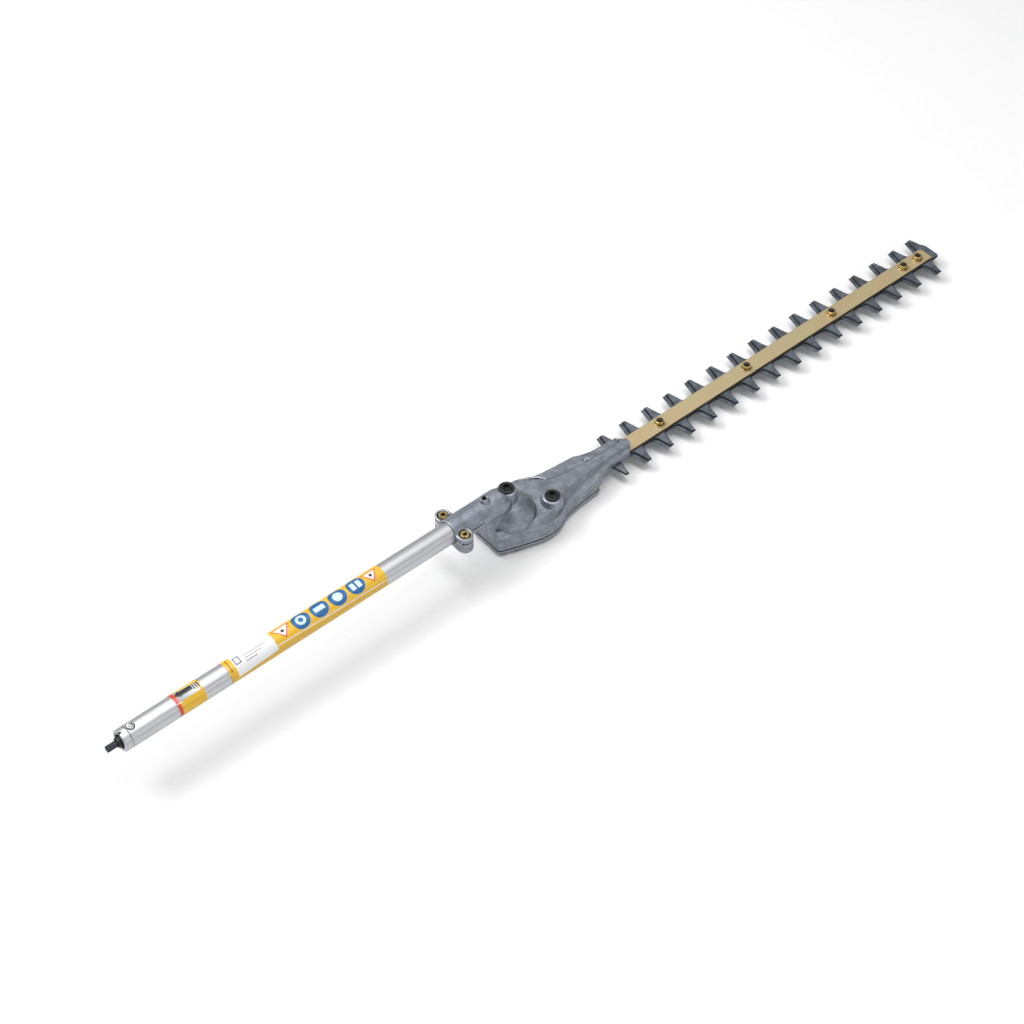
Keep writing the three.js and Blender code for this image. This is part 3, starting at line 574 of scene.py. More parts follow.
def mesh_from(name, points, faces):
    """A closed mesh with its doubles merged and its faces turned outwards."""
    form = form_of(points, faces)
    bmesh.ops.remove_doubles(form, verts=form.verts, dist=0.002 * MM)
    bmesh.ops.recalc_face_normals(form, faces=form.faces)
    return mesh_of(name, form)


def lofted(name, rings):
    """A closed solid through outlines of one size, each given with its height."""
    size = len(rings[0][0])
    points = [(p.x, p.y, z) for row, z in rings for p in row]
    last = (len(rings) - 1) * size
    faces = [tuple(range(size)), tuple(range(last, last + size))]
    for start in range(0, last, size):
        for k in range(size):
            a, b = start + k, start + (k + 1) % size
            faces.append((a, b, b + size, a + size))
    return mesh_from(name, points, faces)


def placed(name, mesh):
    """A new object in the scene."""
    obj = bpy.data.objects.new(name, mesh)
    bpy.context.scene.collection.objects.link(obj)
    return obj


def mark_painted_recess_shade(mesh, *zones):
    """Stores 1 on points that lie in a zone: within a radius and between two heights. The plated finish
    paints shade on these points.
    """
    levels = [0.0] * len(mesh.vertices)
    for k, vert in enumerate(mesh.vertices):
        far = math.hypot(vert.co.x, vert.co.y)
        if any(far < radius and low < vert.co.z < high for radius, low, high in zones):
            levels[k] = 1.0
    attribute = mesh.attributes.new("recess", "FLOAT", "POINT")
    attribute.data.foreach_set("value", levels)
    return mesh


def joined(name, meshes):
    """Several meshes as one."""
    form = bmesh.new()
    for mesh in meshes:
        form.from_mesh(mesh)
    return mesh_of(name, form)


def shaded(obj, degrees=32):
    """Smooth shading with crisp edges where faces meet at more than an angle."""
    mesh = obj.data
    mesh.shade_smooth()
    mesh.set_sharp_from_angle(angle=math.radians(degrees))
    return obj


def fitted(obj, body, slot, *nodes, material=None):
    """Gives a piece its finish and its body, and lets it stand for its frame nodes."""
    obj.data.materials.clear()
    obj.data.materials.append(material or finish_of(slot))
    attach(obj, body)
    if nodes:
        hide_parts(*nodes)
    return obj


def turned(profile, steps=48):
    """A solid turned about Z. Each profile entry is (radius, height), or a function of the angle."""
    points, faces = [], []
    for k in range(steps):
        angle = TURN * k / steps
        for entry in profile:
            radius, height = entry(angle) if callable(entry) else entry
            points.append((radius * math.cos(angle), radius * math.sin(angle), height))
    rows = len(profile)
    for k in range(steps):
        here, there = k * rows, (k + 1) % steps * rows
        for j in range(rows - 1):
            faces.append((here + j, there + j, there + j + 1, here + j + 1))
    return points, faces


def turned_mesh(name, profile, steps=48, place=None):
    """A turned solid that starts and ends on its axis, or closes on itself."""
    form = form_of(*turned(profile, steps))
    tiny = 0.001 * MM
    bmesh.ops.remove_doubles(form, verts=form.verts, dist=tiny)
    bmesh.ops.dissolve_degenerate(form, edges=form.edges, dist=tiny)
    bmesh.ops.recalc_face_normals(form, faces=form.faces)
    mesh = mesh_of(name, form)
    if place:
        mesh.transform(place)
    return mesh


ALONG = Matrix.Rotation(math.pi / 2, 4, "Y")


def on_axis(x=0.0):
    """Turns a solid from Z to the tube's axis and moves it there."""
    return Matrix.Translation((x, 0, AXIS_Z)) @ ALONG


def hexagon(flats, height):
    """A profile entry that runs round a hexagon."""
    def entry(angle):
        part = (angle + math.pi / 6) % (math.pi / 3) - math.pi / 6
        return flats / 2 / math.cos(part), height
    return entry


def hexagon_within(flats, radius, height, slope=0.55):
    """Where a hexagon's side meets the cone that is turned on its end."""
    def entry(angle):
        out, _ = hexagon(flats, height)(angle)
        return out, height - max(0.0, out - radius) * slope
    return entry


def threads(radius, depth, pitch, low, high, rows_per_turn=5):
    """Profile entries of a screw thread between two heights."""
    count = max(2, round((high - low) / pitch * rows_per_turn))

    def ridge(height):
        def entry(angle):
            part = (height / pitch - angle / TURN) % 1
            return radius - depth * abs(2 * part - 1), height
        return entry
    return [ridge(low + (high - low) * k / count) for k in range(count + 1)]


# ---- Geometry Nodes trees ------------------------------------------------------------------------


class Shape(Graph):
    """A Geometry Nodes tree with named inputs."""

    def __init__(self, name, inputs):
        super().__init__(bpy.data.node_groups.new(name, "GeometryNodeTree"))
        face = self.tree.interface
        face.new_socket(name="Geometry", in_out="OUTPUT", socket_type="NodeSocketGeometry")
        for label, (kind, value, about) in {"Geometry": ("Geometry", None, "Base mesh"), **inputs}.items():
            socket = face.new_socket(name=label, in_out="INPUT", socket_type=f"NodeSocket{kind}")
            socket.description = about
            if value is not None:
                socket.default_value = value
        self.entry = self.tree.nodes.new("NodeGroupInput")

    def given(self, name):
        return Wire(self, self.entry.outputs[name])

    def close(self, geometry):
        """Ends the tree in real, finished geometry."""
        real = self.node("GeometryNodeRealizeInstances", inputs={"Geometry": geometry})
        dressed = self.node("GeometryNodeSetMaterial", inputs={
            "Geometry": real, "Material": self.given("Finish")})
        self.node("NodeGroupOutput", inputs={0: dressed})
        return self.tree


def grown(name, tree, base, **settings):
    """The plain mesh that a tree makes from a base mesh, as a new object."""
    carrier = placed(name, base)
    modifier = carrier.modifiers.new("Shape", "NODES")
    modifier.node_group = tree
    for item in tree.interface.items_tree:
        if item.in_out == "INPUT" and item.name in settings:
            modifier[item.identifier] = settings[item.name]
    graph = bpy.context.evaluated_depsgraph_get()
    mesh = bpy.data.meshes.new_from_object(carrier.evaluated_get(graph), depsgraph=graph)
    carrier.modifiers.clear()
    carrier.data = mesh
    if not mesh.polygons:
        raise RuntimeError(f"{name} came out empty")
    return carrier


def setting_out_tree():
    """Sets one fastener on every point of the base mesh, each turned by chance about its axis."""
    s = Shape("setting_out", {
        "Fastener": ("Object", None, "The fastener that is repeated"),
        "Turn": ("Float", 0.0, "How far a fastener may be turned"),
        "Seed": ("Int", 1, "Seed of the chance turns"),
        "Finish": ("Material", None, "Finish of the fasteners"),
    })
    one = s.node("GeometryNodeObjectInfo", inputs={"Object": s.given("Fastener")}, output="Geometry")
    turn = s.node("FunctionNodeRandomValue", {"data_type": "FLOAT"}, {
        2: 0.0, 3: s.given("Turn"), "Seed": s.given("Seed")}, 1)
    spin = s.node("ShaderNodeCombineXYZ", inputs={"Z": turn})
    return s.close(s.node("GeometryNodeInstanceOnPoints", inputs={
        "Points": s.given("Geometry"), "Instance": one, "Rotation": spin}))


def toothed_blade_tree():
    """Joins a row of teeth down each side of a strip and cuts the slots for the bolts."""
    s = Shape("toothed_blade", {
        "Tooth": ("Object", None, "One tooth, pointing along +Y"),
        "Slots": ("Object", None, "The solids that the slots take out"),
        "Left Teeth": ("Int", 15, "Teeth on the left side"),
        "Right Teeth": ("Int", 16, "Teeth on the right side"),
        "Pitch": ("Float", 0.03, "Distance from tooth to tooth"),
        "Left Start": ("Float", 0.0, "Place of the first tooth on the left"),
        "Right Start": ("Float", 0.0, "Place of the first tooth on the right"),
        "Finish": ("Material", None, "Finish of the blade"),
    })
    tooth = s.node("GeometryNodeObjectInfo", inputs={"Object": s.given("Tooth")}, output="Geometry")
    step = s.node("ShaderNodeCombineXYZ", inputs={"X": s.given("Pitch")})
    rows = []
    for side, turn in (("Left", 0.0), ("Right", math.pi)):
        start = s.node("ShaderNodeCombineXYZ", inputs={"X": s.given(f"{side} Start")})
        line = s.node("GeometryNodeMeshLine", inputs={
            "Count": s.given(f"{side} Teeth"), "Start Location": start, "Offset": step})
        rows.append(s.node("GeometryNodeInstanceOnPoints", inputs={
            "Points": line, "Instance": tooth, "Rotation": (0.0, 0.0, turn)}))
    teeth = s.node("GeometryNodeRealizeInstances", inputs={
        "Geometry": s.node("GeometryNodeJoinGeometry", inputs={0: rows})})
    strip = s.node("GeometryNodeMeshBoolean", {"operation": "UNION", "solver": "MANIFOLD"}, {
        "Mesh 2": [s.given("Geometry"), teeth]})
    slots = s.node("GeometryNodeObjectInfo", inputs={"Object": s.given("Slots")}, output="Geometry")
    return s.close(s.node("GeometryNodeMeshBoolean", {"operation": "DIFFERENCE", "solver": "MANIFOLD"}, {
        "Mesh 1": strip, "Mesh 2": slots}))


def coil_tree():
    """A coil spring: round wire along a helix."""
    s = Shape("coil_spring", {
        "Turns": ("Float", 4.0, "Turns of the coil"),
        "Radius": ("Float", 0.0024, "Radius of the coil"),
        "Height": ("Float", 0.004, "Height of the coil"),
        "Wire": ("Float", 0.0003, "Radius of the wire"),
        "Finish": ("Material", None, "Finish of the wire"),
    })
    helix = s.node("GeometryNodeCurveSpiral", inputs={
        "Resolution": 24, "Rotations": s.given("Turns"), "Start Radius": s.given("Radius"),
        "End Radius": s.given("Radius"), "Height": s.given("Height")})
    wire = s.node("GeometryNodeCurvePrimitiveCircle", inputs={"Resolution": 8, "Radius": s.given("Wire")})
    return s.close(s.node("GeometryNodeCurveToMesh", inputs={
        "Curve": helix, "Profile Curve": wire, "Fill Caps": True}))


def set_out(name, mesh, points, body, slot, nodes, turn=0.0):
    """One piece made of a fastener repeated on several points."""
    one = placed(name + "_one", mesh)
    spots = bpy.data.meshes.new(name)
    spots.from_pydata([tuple(p) for p in points], [], [])
    tree = setting_out_tree()
    piece = grown(name, tree, spots, Fastener=one, Turn=turn, Seed=7, Finish=finish_of(slot))
    bpy.data.objects.remove(one)
    return fitted(shaded(piece), body, slot, *nodes)


# ---- Pieces: drive tube ----------------------------------------------------------------------------


def tube_pieces():
    """The drive tube with its two drilled holes, and the stepped ring in its end."""
    low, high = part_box("tube_end_collar")
    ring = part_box("drive_tube")[0].x - low.x
    bore = TUBE_R - 1.5 * MM
    length = TUBE_HIGH.x - TUBE_LOW.x
    lip = 0.35 * MM
    tube = placed("tube_shell", turned_mesh("tube_shell", [
        (bore, lip), (bore + lip, 0), (TUBE_R - lip, 0), (TUBE_R, lip), (TUBE_R, length - lip),
        (TUBE_R - lip, length), (bore + lip, length), (bore, length - lip), (bore, lip),
    ], 120, on_axis(TUBE_LOW.x)))
    lock = middle("lock_button")
    screw = middle("locating_screw")
    for place, radius in ((lock, LOCK_HOLE_R), (screw, 2.3 * MM)):
        drill(tube, place.x, place.y, radius, HOLE_LOW, HOLE_HIGH)
    fitted(shaded(tube), "housing", "tube", "drive_tube")

    inner = TUBE_R - 3.1 * MM
    spigot = high.x - low.x
    collar = placed("tube_end_ring", turned_mesh("tube_end_ring", [
        (inner, lip), (inner + lip, 0), (TUBE_R - 2 * lip, 0), (TUBE_R, 2 * lip),
        (TUBE_R, ring - 1.1 * MM), (TUBE_R - 0.45 * MM, ring - 0.7 * MM),
        (TUBE_R - 0.45 * MM, ring - 0.35 * MM), (bore - 0.3 * MM, ring - 0.35 * MM),
        (bore - 0.3 * MM, spigot), (inner, spigot), (inner, lip),
    ], 96, on_axis(low.x)))
    drill(collar, lock.x, lock.y, LOCK_HOLE_R, HOLE_LOW, HOLE_HIGH)
    carve(collar, low - Vector((1, 0, 0)) * MM, (4 * MM, 2.4 * MM, 9 * MM), HOLE_LOW)
    fitted(shaded(collar), "housing", "tube", "tube_end_collar")


def cutter(obj, mesh):
    """Takes one closed mesh out of a piece."""
    tool = placed("tool", mesh)
    modifier = obj.modifiers.new("Cut", "BOOLEAN")
    modifier.object = tool
    modifier.solver = "EXACT"
    apply_modifiers(obj)
    bpy.data.objects.remove(tool)


def apply_modifiers(obj):
    """Makes what the piece's modifiers do its plain mesh."""
    graph = bpy.context.evaluated_depsgraph_get()
    mesh = bpy.data.meshes.new_from_object(obj.evaluated_get(graph), depsgraph=graph)
    obj.modifiers.clear()
    obj.data = mesh


def drill(obj, x, y, radius, low, high):
    """Drills an upright hole between two heights."""
    cutter(obj, turned_mesh("drill", [(0, low), (radius, low), (radius, high), (0, high)], 40,
                            Matrix.Translation((x, y, 0))))


def carve(obj, corner, size, low):
    """Cuts an upright slot, centred on the tube, from a corner's place forwards."""
    points = [(corner.x + dx * size[0], dy * size[1] / 2, low + dz * size[2])
              for dx in (0, 1) for dy in (-1, 1) for dz in (0, 1)]
    faces = [(0, 1, 3, 2), (4, 6, 7, 5), (0, 4, 5, 1), (2, 3, 7, 6), (0, 2, 6, 4), (1, 5, 7, 3)]
    cutter(obj, mesh_from("slot", points, faces))


def tube_end_bush():
    """The black insert in the tube's end, with a raised hub round its bore."""
    low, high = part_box("tube_end_bush")
    length = high.x - low.x
    outer = (high.y - low.y) / 2
    bore = 3.8 * MM
    face = TUBE_END - low.x + 1.6 * MM
    lip = 0.3 * MM
    bush = placed("end_bush", turned_mesh("end_bush", [
        (bore, lip), (bore + lip, 0), (5.0 * MM, 0), (5.3 * MM, lip), (5.6 * MM, face + 1.2 * MM),
        (outer - 1.5 * MM, face + 1.2 * MM), (outer - 1.2 * MM, face - 0.6 * MM),
        (outer - 0.2 * MM, face - 0.6 * MM), (outer, face - 0.2 * MM), (outer, length),
        (bore, length), (bore, lip),
    ], 72, on_axis(low.x)))
    lock = middle("lock_button")
    drill(bush, lock.x, lock.y, LOCK_HOLE_R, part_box("lock_spring")[0].z - 0.7 * MM, HOLE_HIGH)
    fitted(shaded(bush), "housing", "black_plastic", "tube_end_bush")


def lock_pieces():
    """The button with its dished top, and the coil spring under it."""
    low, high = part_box("lock_button")
    place = (low + high) / 2
    r, cup = (high.x - low.x) / 2, 3.1 * MM
    inner = high.z - 2.4 * MM
    button = placed("lock_pin", turned_mesh("lock_pin", [
        (0, inner), (cup, inner), (cup, low.z + 0.3 * MM), (cup + 0.3 * MM, low.z),
        (r - 0.2 * MM, low.z), (r, low.z + 0.2 * MM), (r, high.z - 1.5 * MM),
        (r - 0.25 * MM, high.z - 0.95 * MM), (r - 0.8 * MM, high.z - 0.5 * MM),
        (r - 1.5 * MM, high.z - 0.42 * MM), (r - 1.7 * MM, high.z - 0.62 * MM),
        (r - 2.1 * MM, high.z - 0.6 * MM), (r - 2.6 * MM, high.z - 0.15 * MM),
        (0.7 * MM, high.z), (0, high.z),
    ], 64, Matrix.Translation((place.x, place.y, 0))))
    fitted(shaded(button), "lock", "bright_steel", "lock_button")

    low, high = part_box("lock_spring")
    wire = 0.3 * MM
    base = bpy.data.meshes.new("button_spring")
    spring = grown("button_spring", coil_tree(), base, Turns=4.0, Radius=2.4 * MM,
                   Height=high.z - low.z - 2 * wire, Wire=wire, Finish=finish_of("bright_steel"))
    spring.data.transform(Matrix.Translation((place.x, place.y, low.z + wire)))
    fitted(shaded(spring), "housing", "bright_steel", "lock_spring")
    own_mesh(spring)


def drive_shaft():
    """The round shaft in the tube, with a square end that has broken corners."""
    low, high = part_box("drive_shaft")
    radius = 3.5 * MM
    square = 2.6 * MM
    stub = TUBE_END + 2.4 * MM - low.x

    def squared(inset, height):
        def entry(angle):
            flat = (square - inset) / max(abs(math.cos(angle)), abs(math.sin(angle)))
            return min(flat, radius - 0.25 * MM - inset), height
        return entry
    length = high.x - low.x
    shaft = placed("inner_shaft", turned_mesh("inner_shaft", [
        (0, 0), squared(0.5 * MM, 0), squared(0.0, 0.7 * MM), squared(0.0, stub),
        (radius - 0.3 * MM, stub), (radius, stub + 0.5 * MM), (radius, length - 0.5 * MM),
        (radius - 0.5 * MM, length), (0, length),
    ], 72, on_axis(low.x)))
    fitted(shaded(shaft), "drive", "dark_steel", "drive_shaft")


def label(name, node, material):
    """A thin film wrapped on the tube, with its own map along and round the tube."""
    low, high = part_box(node)
    outer = high.z - AXIS_Z
    around, along = 56, 24
    inside = TUBE_R + 0.06 * MM
    form = bmesh.new()
    wrap = form.loops.layers.uv.new("wrap")
    grid = {}
    for side, radius in enumerate((outer, inside)):
        for j in range(along + 1):
            for k in range(around + 1):
                angle = FILM_START + (FILM_END - FILM_START) * k / around
                x = low.x + (high.x - low.x) * j / along
                y, z = radius * math.sin(angle), AXIS_Z + radius * math.cos(angle)
                grid[side, j, k] = form.verts.new((x, y, z))

    def quad(*keys):
        form.faces.new([grid[key] for key in keys])

    for side in (0, 1):
        for j in range(along):
            for k in range(around):
                quad((side, j, k), (side, j + 1, k), (side, j + 1, k + 1), (side, j, k + 1))
    for j in range(along):
        for k in (0, around):
            quad((0, j, k), (0, j + 1, k), (1, j + 1, k), (1, j, k))
    for k in range(around):
        for j in (0, along):
            quad((0, j, k), (0, j, k + 1), (1, j, k + 1), (1, j, k))
    bmesh.ops.recalc_face_normals(form, faces=form.faces)
    for face in form.faces:
        for loop in face.loops:
            x, y, z = loop.vert.co
            loop[wrap].uv = (x - low.x, math.atan2(y, z - AXIS_Z) * outer)
    piece = shaded(placed(name, mesh_of(name, form)))
    return fitted(piece, "housing", "label", node, material=material)


# ---- Pieces: castings ------------------------------------------------------------------------------


def merged_copy(name, node):
    """A copy of a frame node's mesh with its triangles joined."""
    form = bmesh.new()
    form.from_mesh(frame["nodes"][node].data)
    bmesh.ops.remove_doubles(form, verts=form.verts, dist=0.001 * MM)
    return placed(name, mesh_of(name, form))


def points_of(mesh):
    """The mesh's points as rows of three numbers."""
    flat = np.empty(len(mesh.vertices) * 3)
    mesh.vertices.foreach_get("co", flat)
    return flat.reshape(-1, 3)


def edges_of(mesh):
    """The mesh's edges as rows of two point numbers."""
    flat = np.empty(len(mesh.edges) * 2, dtype=np.int64)
    mesh.edges.foreach_get("vertices", flat)
    return flat.reshape(-1, 2)


def eased(points, edges, share, rounds):
    """Moves each point towards the middle of its neighbours by its share, several times over."""
    count = np.bincount(edges.ravel(), minlength=len(points)).astype(float)[:, None]
    for _ in range(rounds):
        total = np.zeros_like(points)
        np.add.at(total, edges[:, 0], points[edges[:, 1]])
        np.add.at(total, edges[:, 1], points[edges[:, 0]])
        points = points + (total / count - points) * share[:, None]
    return points


def mark_edges(mesh):
    """Stores how far each point stands out (above 0) or lies in a corner (below 0)."""
    points, edges = points_of(mesh), edges_of(mesh)
    normals = np.empty(len(points) * 3)
    mesh.vertices.foreach_get("normal", normals)
    normals = normals.reshape(-1, 3)
    step = points[edges[:, 1]] - points[edges[:, 0]]
    length = np.maximum(np.linalg.norm(step, axis=1), 1e-7)
    bend = np.einsum("ij,ij->i", normals[edges[:, 1]] - normals[edges[:, 0]], step) / length ** 2
    count = np.maximum(np.bincount(edges.ravel(), minlength=len(points)), 1).astype(float)
    first, second = [np.bincount(edges[:, end], bend, len(points)) for end in (0, 1)]
    curve = (first + second) / count
    curve = eased(curve[:, None], edges, np.full(len(points), 0.6), 3)[:, 0]
    sharpest = 1 / (1.3 * MM)
    values = np.clip(curve / sharpest, -1, 1).astype(np.float32)
    attribute = mesh.attributes.new("edge", "FLOAT", "POINT")
    attribute.data.foreach_set("value", values)


def cast_piece(name, node, grain, rounds, crisp):
    """A casting with rounded edges: the node's solid as a fine mesh, eased where it isn't machined."""
    piece = merged_copy(name, node)
    remesh = piece.modifiers.new("Fine mesh", "REMESH")
    remesh.mode = "VOXEL"
    remesh.voxel_size = grain
    apply_modifiers(piece)
    mesh = piece.data
    points, edges = points_of(mesh), edges_of(mesh)
    points = eased(points, edges, np.full(len(points), 0.5), 2)
    mesh.vertices.foreach_set("co", eased(points, edges, 0.5 * (1 - crisp(points)), rounds).ravel())
    mesh.update()
    faces = len(mesh.polygons) * 2
    most = 190000
    if faces > most:
        thin = piece.modifiers.new("Thin", "DECIMATE")
        thin.ratio = most / faces
        apply_modifiers(piece)
    mark_edges(piece.data)
    piece.data.shade_smooth()
    return piece


def case_crispness(points):
    """1 on the machined faces of the gear case and 0 on its cast skin."""
    low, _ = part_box("gear_case")
    crisp = np.clip(1 - (points[:, 2] - low.z - 1.2 * MM) / (1.6 * MM), 0, 1) * 0.8
    for node, reach in (("clamp_bolt_left", 7.0), ("clamp_bolt_right", 7.0), ("locating_screw", 3.6),
                        ("grease_plug_rear", 8.6), ("bar_screw_1", 3.2), ("bar_screw_2", 3.2)):
        place = middle(node)
        _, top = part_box(node)
        far = np.hypot(points[:, 0] - place.x, points[:, 1] - place.y)
        near = (far < reach * MM) & (points[:, 2] > top.z - 7 * MM)
        crisp = np.where(near, np.maximum(crisp, 0.75), crisp)
    return crisp


# ---- Pieces: blades and bar ------------------------------------------------------------------------


def inset_row(row, amount):
    """A row of points moved to its right-hand side, with square corners kept."""
    moved = []
    for k, here in enumerate(row):
        before, after = row[max(k - 1, 0)], row[min(k + 1, len(row) - 1)]
        one = (here - before).normalized() if here != before else (after - here).normalized()
        two = (after - here).normalized() if after != here else one
        side = Vector((one.y + two.y, -one.x - two.x))
        side.normalize()
        moved.append(here + side * amount / max(0.5, side.dot(Vector((one.y, -one.x)))))
    return moved


def bevelled_plate(name, row, bevel, outer, shear, land):
    """A closed plate on an outline that runs clockwise, bevelled from its shear face to its outer face."""
    direction = 1 if outer > shear else -1
    corner_high, corner_wide = 0.12 * MM, 0.14 * MM
    return lofted(name, [
        (row, shear), (row, shear + direction * land),
        (inset_row(row, bevel), outer - direction * corner_high),
        (inset_row(row, bevel + corner_wide), outer),
    ])


def arc(centre, radius, start, end, steps):
    """Points of an arc between two angles."""
    return [Vector((centre[0] + radius * math.cos(start + (end - start) * k / steps),
                    centre[1] + radius * math.sin(start + (end - start) * k / steps)))
            for k in range(steps + 1)]


TOOTH_TIP = UPPER_HIGH.y
GULLET = 9.8 * MM


def tooth_flank(tip_half):
    """The right flank of a tooth from its flare to its tip, with the flare as an arc."""
    tip, waist = Vector((tip_half, TOOTH_TIP)), Vector((5 * MM, 15 * MM))
    slope = (waist - tip).normalized()
    turn = math.acos(slope.x)
    radius = 5 * MM
    crossing = tip + slope * ((GULLET - tip.y) / slope.y)
    reach = radius * math.tan(turn / 2)
    centre = (crossing.x + reach, GULLET + radius)
    flare = arc(centre, radius, -math.pi / 2, -math.pi / 2 - turn, 7)
    return flare + [tip]


def tooth_outline(tip_half):
    """One tooth, clockwise from inside the strip on its left flank."""
    flank = tooth_flank(tip_half)
    start = flank[0]
    foot = [Vector((start.x + 0.3 * MM, GULLET - 0.6 * MM)), Vector((start.x + 0.3 * MM, 5 * MM))]
    right = foot[::-1] + flank
    left = [Vector((-p.x, p.y)) for p in right]
    return left + right[::-1]


def blade_strip(shift, nose):
    """A blade's strip with its yoke ring and nose, clockwise, at mid stroke moved by shift."""
    crank = middle("crankshaft").x
    end_r, straight = 17.3 * MM, 6 * MM
    join = math.asin((GULLET - straight) / end_r)
    yoke = arc((crank, straight), end_r, join, math.pi, 20)
    left = [Vector((crank + end_r * math.cos(join) + 8 * MM, GULLET))] + yoke
    right = [Vector((p.x, -p.y)) for p in reversed(left)]
    row = left[::-1] + nose + right[::-1]
    return [Vector((p.x + shift, p.y)) for p in row]


def slot_solids(name, spans, low, high):
    """The upright solids that the slots and the yoke's window take out of a blade."""
    meshes = []
    for (x0, x1), (y0, y1), radius in spans:
        quarter = math.pi / 2
        row = (arc((x1, y1), radius, quarter, 0, 8) + arc((x1, y0), radius, 0, -quarter, 8)
               + arc((x0, y0), radius, -quarter, -math.pi, 8) + arc((x0, y1), radius, math.pi, quarter, 8))
        meshes.append(lofted(name, [(row, low - MM), (row, high + MM)]))
    return joined(name, meshes)


def mark_steep_faces_for_painted_shade(mesh):
    """Stores 1 on a strip's edges and bevels, which the blade and bar finishes paint in dark shade, and 0 on
    its flat faces.
    """
    attribute = mesh.attributes.new("ground", "FLOAT", "FACE")
    levels = [1.0 if abs(p.normal.z) < 0.93 else 0.0 for p in mesh.polygons]
    attribute.data.foreach_set("value", levels)


def blades(settings):
    """Both toothed blades. The lower one lies face down and has no first tooth on the right."""
    tree = toothed_blade_tree()
    front = UPPER_HIGH.x - BLADE_LEAD
    first_left = gullet_x("left_gullet_1") - PITCH / 2
    first_right = gullet_x("right_gullet_1") - PITCH / 2
    flank = tooth_flank(settings.tooth_half)
    last = front - 8.1 * MM
    last_tooth = [Vector((last - p.x, p.y)) for p in flank]
    last_tooth += [Vector((last + flank[-1].x, TOOTH_TIP)), Vector((last + 5 * MM, 15 * MM))]
    nose = last_tooth + [Vector((front - dx * MM, y * MM)) for dx, y in
                         ((0.9, 12.4), (0.25, 10.2), (0, 8), (0, -6.2), (0.5, -7.4), (3, -9.8))]
    crank = middle("crankshaft").x
    sides = (
        ("upper_toothed_blade", "upper_blade", BLADE_LEAD, UPPER_HIGH.z, UPPER_LOW.z, 0, (-9.5, 5.5)),
        ("lower_toothed_blade", "lower_blade", -BLADE_LEAD, LOWER_LOW.z, LOWER_HIGH.z, 1, (-5.5, 9.5)),
    )
    for name, node, shift, outer, shear, skipped, travel in sides:
        land = 0.45 * MM
        outline = tooth_outline(settings.tooth_half)
        tooth = placed(name + "_tooth", bevelled_plate(name, outline, settings.bevel, outer, shear, land))
        strip = bevelled_plate(name, blade_strip(shift, nose), settings.bevel, outer, shear, land)
        spans = [((crank + shift, crank + shift), (-6 * MM, 6 * MM), 13.8 * MM)]
        for a, b in ((0, 0), (1, 1), (2, 2), (3, 4)):
            spans.append(((BOLT_X[a] - travel[1] * MM, BOLT_X[b] - travel[0] * MM), (0, 0), 3.8 * MM))
        low, high = min(outer, shear), max(outer, shear)
        slots = placed(name + "_slots", slot_solids(name, spans, low, high))
        piece = grown(name, tree, strip, **{
            "Tooth": tooth, "Slots": slots, "Left Teeth": 15, "Right Teeth": 16 - skipped, "Pitch": PITCH,
            "Left Start": first_left + shift, "Right Start": first_right + shift + PITCH * skipped,
            "Finish": finish_of("blade")})
        for helper in (tooth, slots):
            bpy.data.objects.remove(helper)
        mark_steep_faces_for_painted_shade(piece.data)
        fitted(shaded(piece, 20), node, "blade", node)


def guide_bar():
    """The gold bar: a strip with broken edges, one clipped corner and its bolt holes."""
    half, root = 8.8 * MM, (BAR_HIGH.y - BAR_LOW.y) / 2
    shoulder = UPPER_HIGH.x - 452 * MM
    clip = 3 * MM
    row = [(BAR_LOW.x, -root), (BAR_LOW.x, root), (shoulder, root), (shoulder + 2 * MM, half),
           (BAR_HIGH.x - clip, half), (BAR_HIGH.x, half - clip), (BAR_HIGH.x, -half), (shoulder, -half),
           (shoulder - 2 * MM, -root)]
    row = [Vector(p) for p in row]
    edge = 0.3 * MM
    narrow = inset_row_closed(row, edge)
    bar = placed("gold_guide_bar", lofted("gold_guide_bar", [
        (narrow, BAR_LOW.z), (row, BAR_LOW.z + edge), (row, BAR_HIGH.z - edge), (narrow, BAR_HIGH.z)]))
    for x in BOLT_X:
        drill(bar, x, 0, 2.8 * MM, BAR_LOW.z - MM, BAR_HIGH.z + MM)
    for node in numbered("bar_screw", 2):
        place = middle(node)
        drill(bar, place.x, place.y, 2.9 * MM, BAR_LOW.z - MM, BAR_HIGH.z + MM)
    mark_steep_faces_for_painted_shade(bar.data)
    fitted(shaded(bar), "housing", "bar", "guide_bar")


def inset_row_closed(row, amount):
    """A closed clockwise outline made smaller all round."""
    size = len(row)
    padded = [row[-1], *row, row[0]]
    return inset_row(padded, amount)[1:size + 1]


# ---- Pieces: fasteners -----------------------------------------------------------------------------


def feet(names):
    """Where like fasteners stand: each one's middle, at the foot of the first."""
    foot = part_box(names[0])[0].z
    return [(middle(n).x, middle(n).y, foot) for n in names]


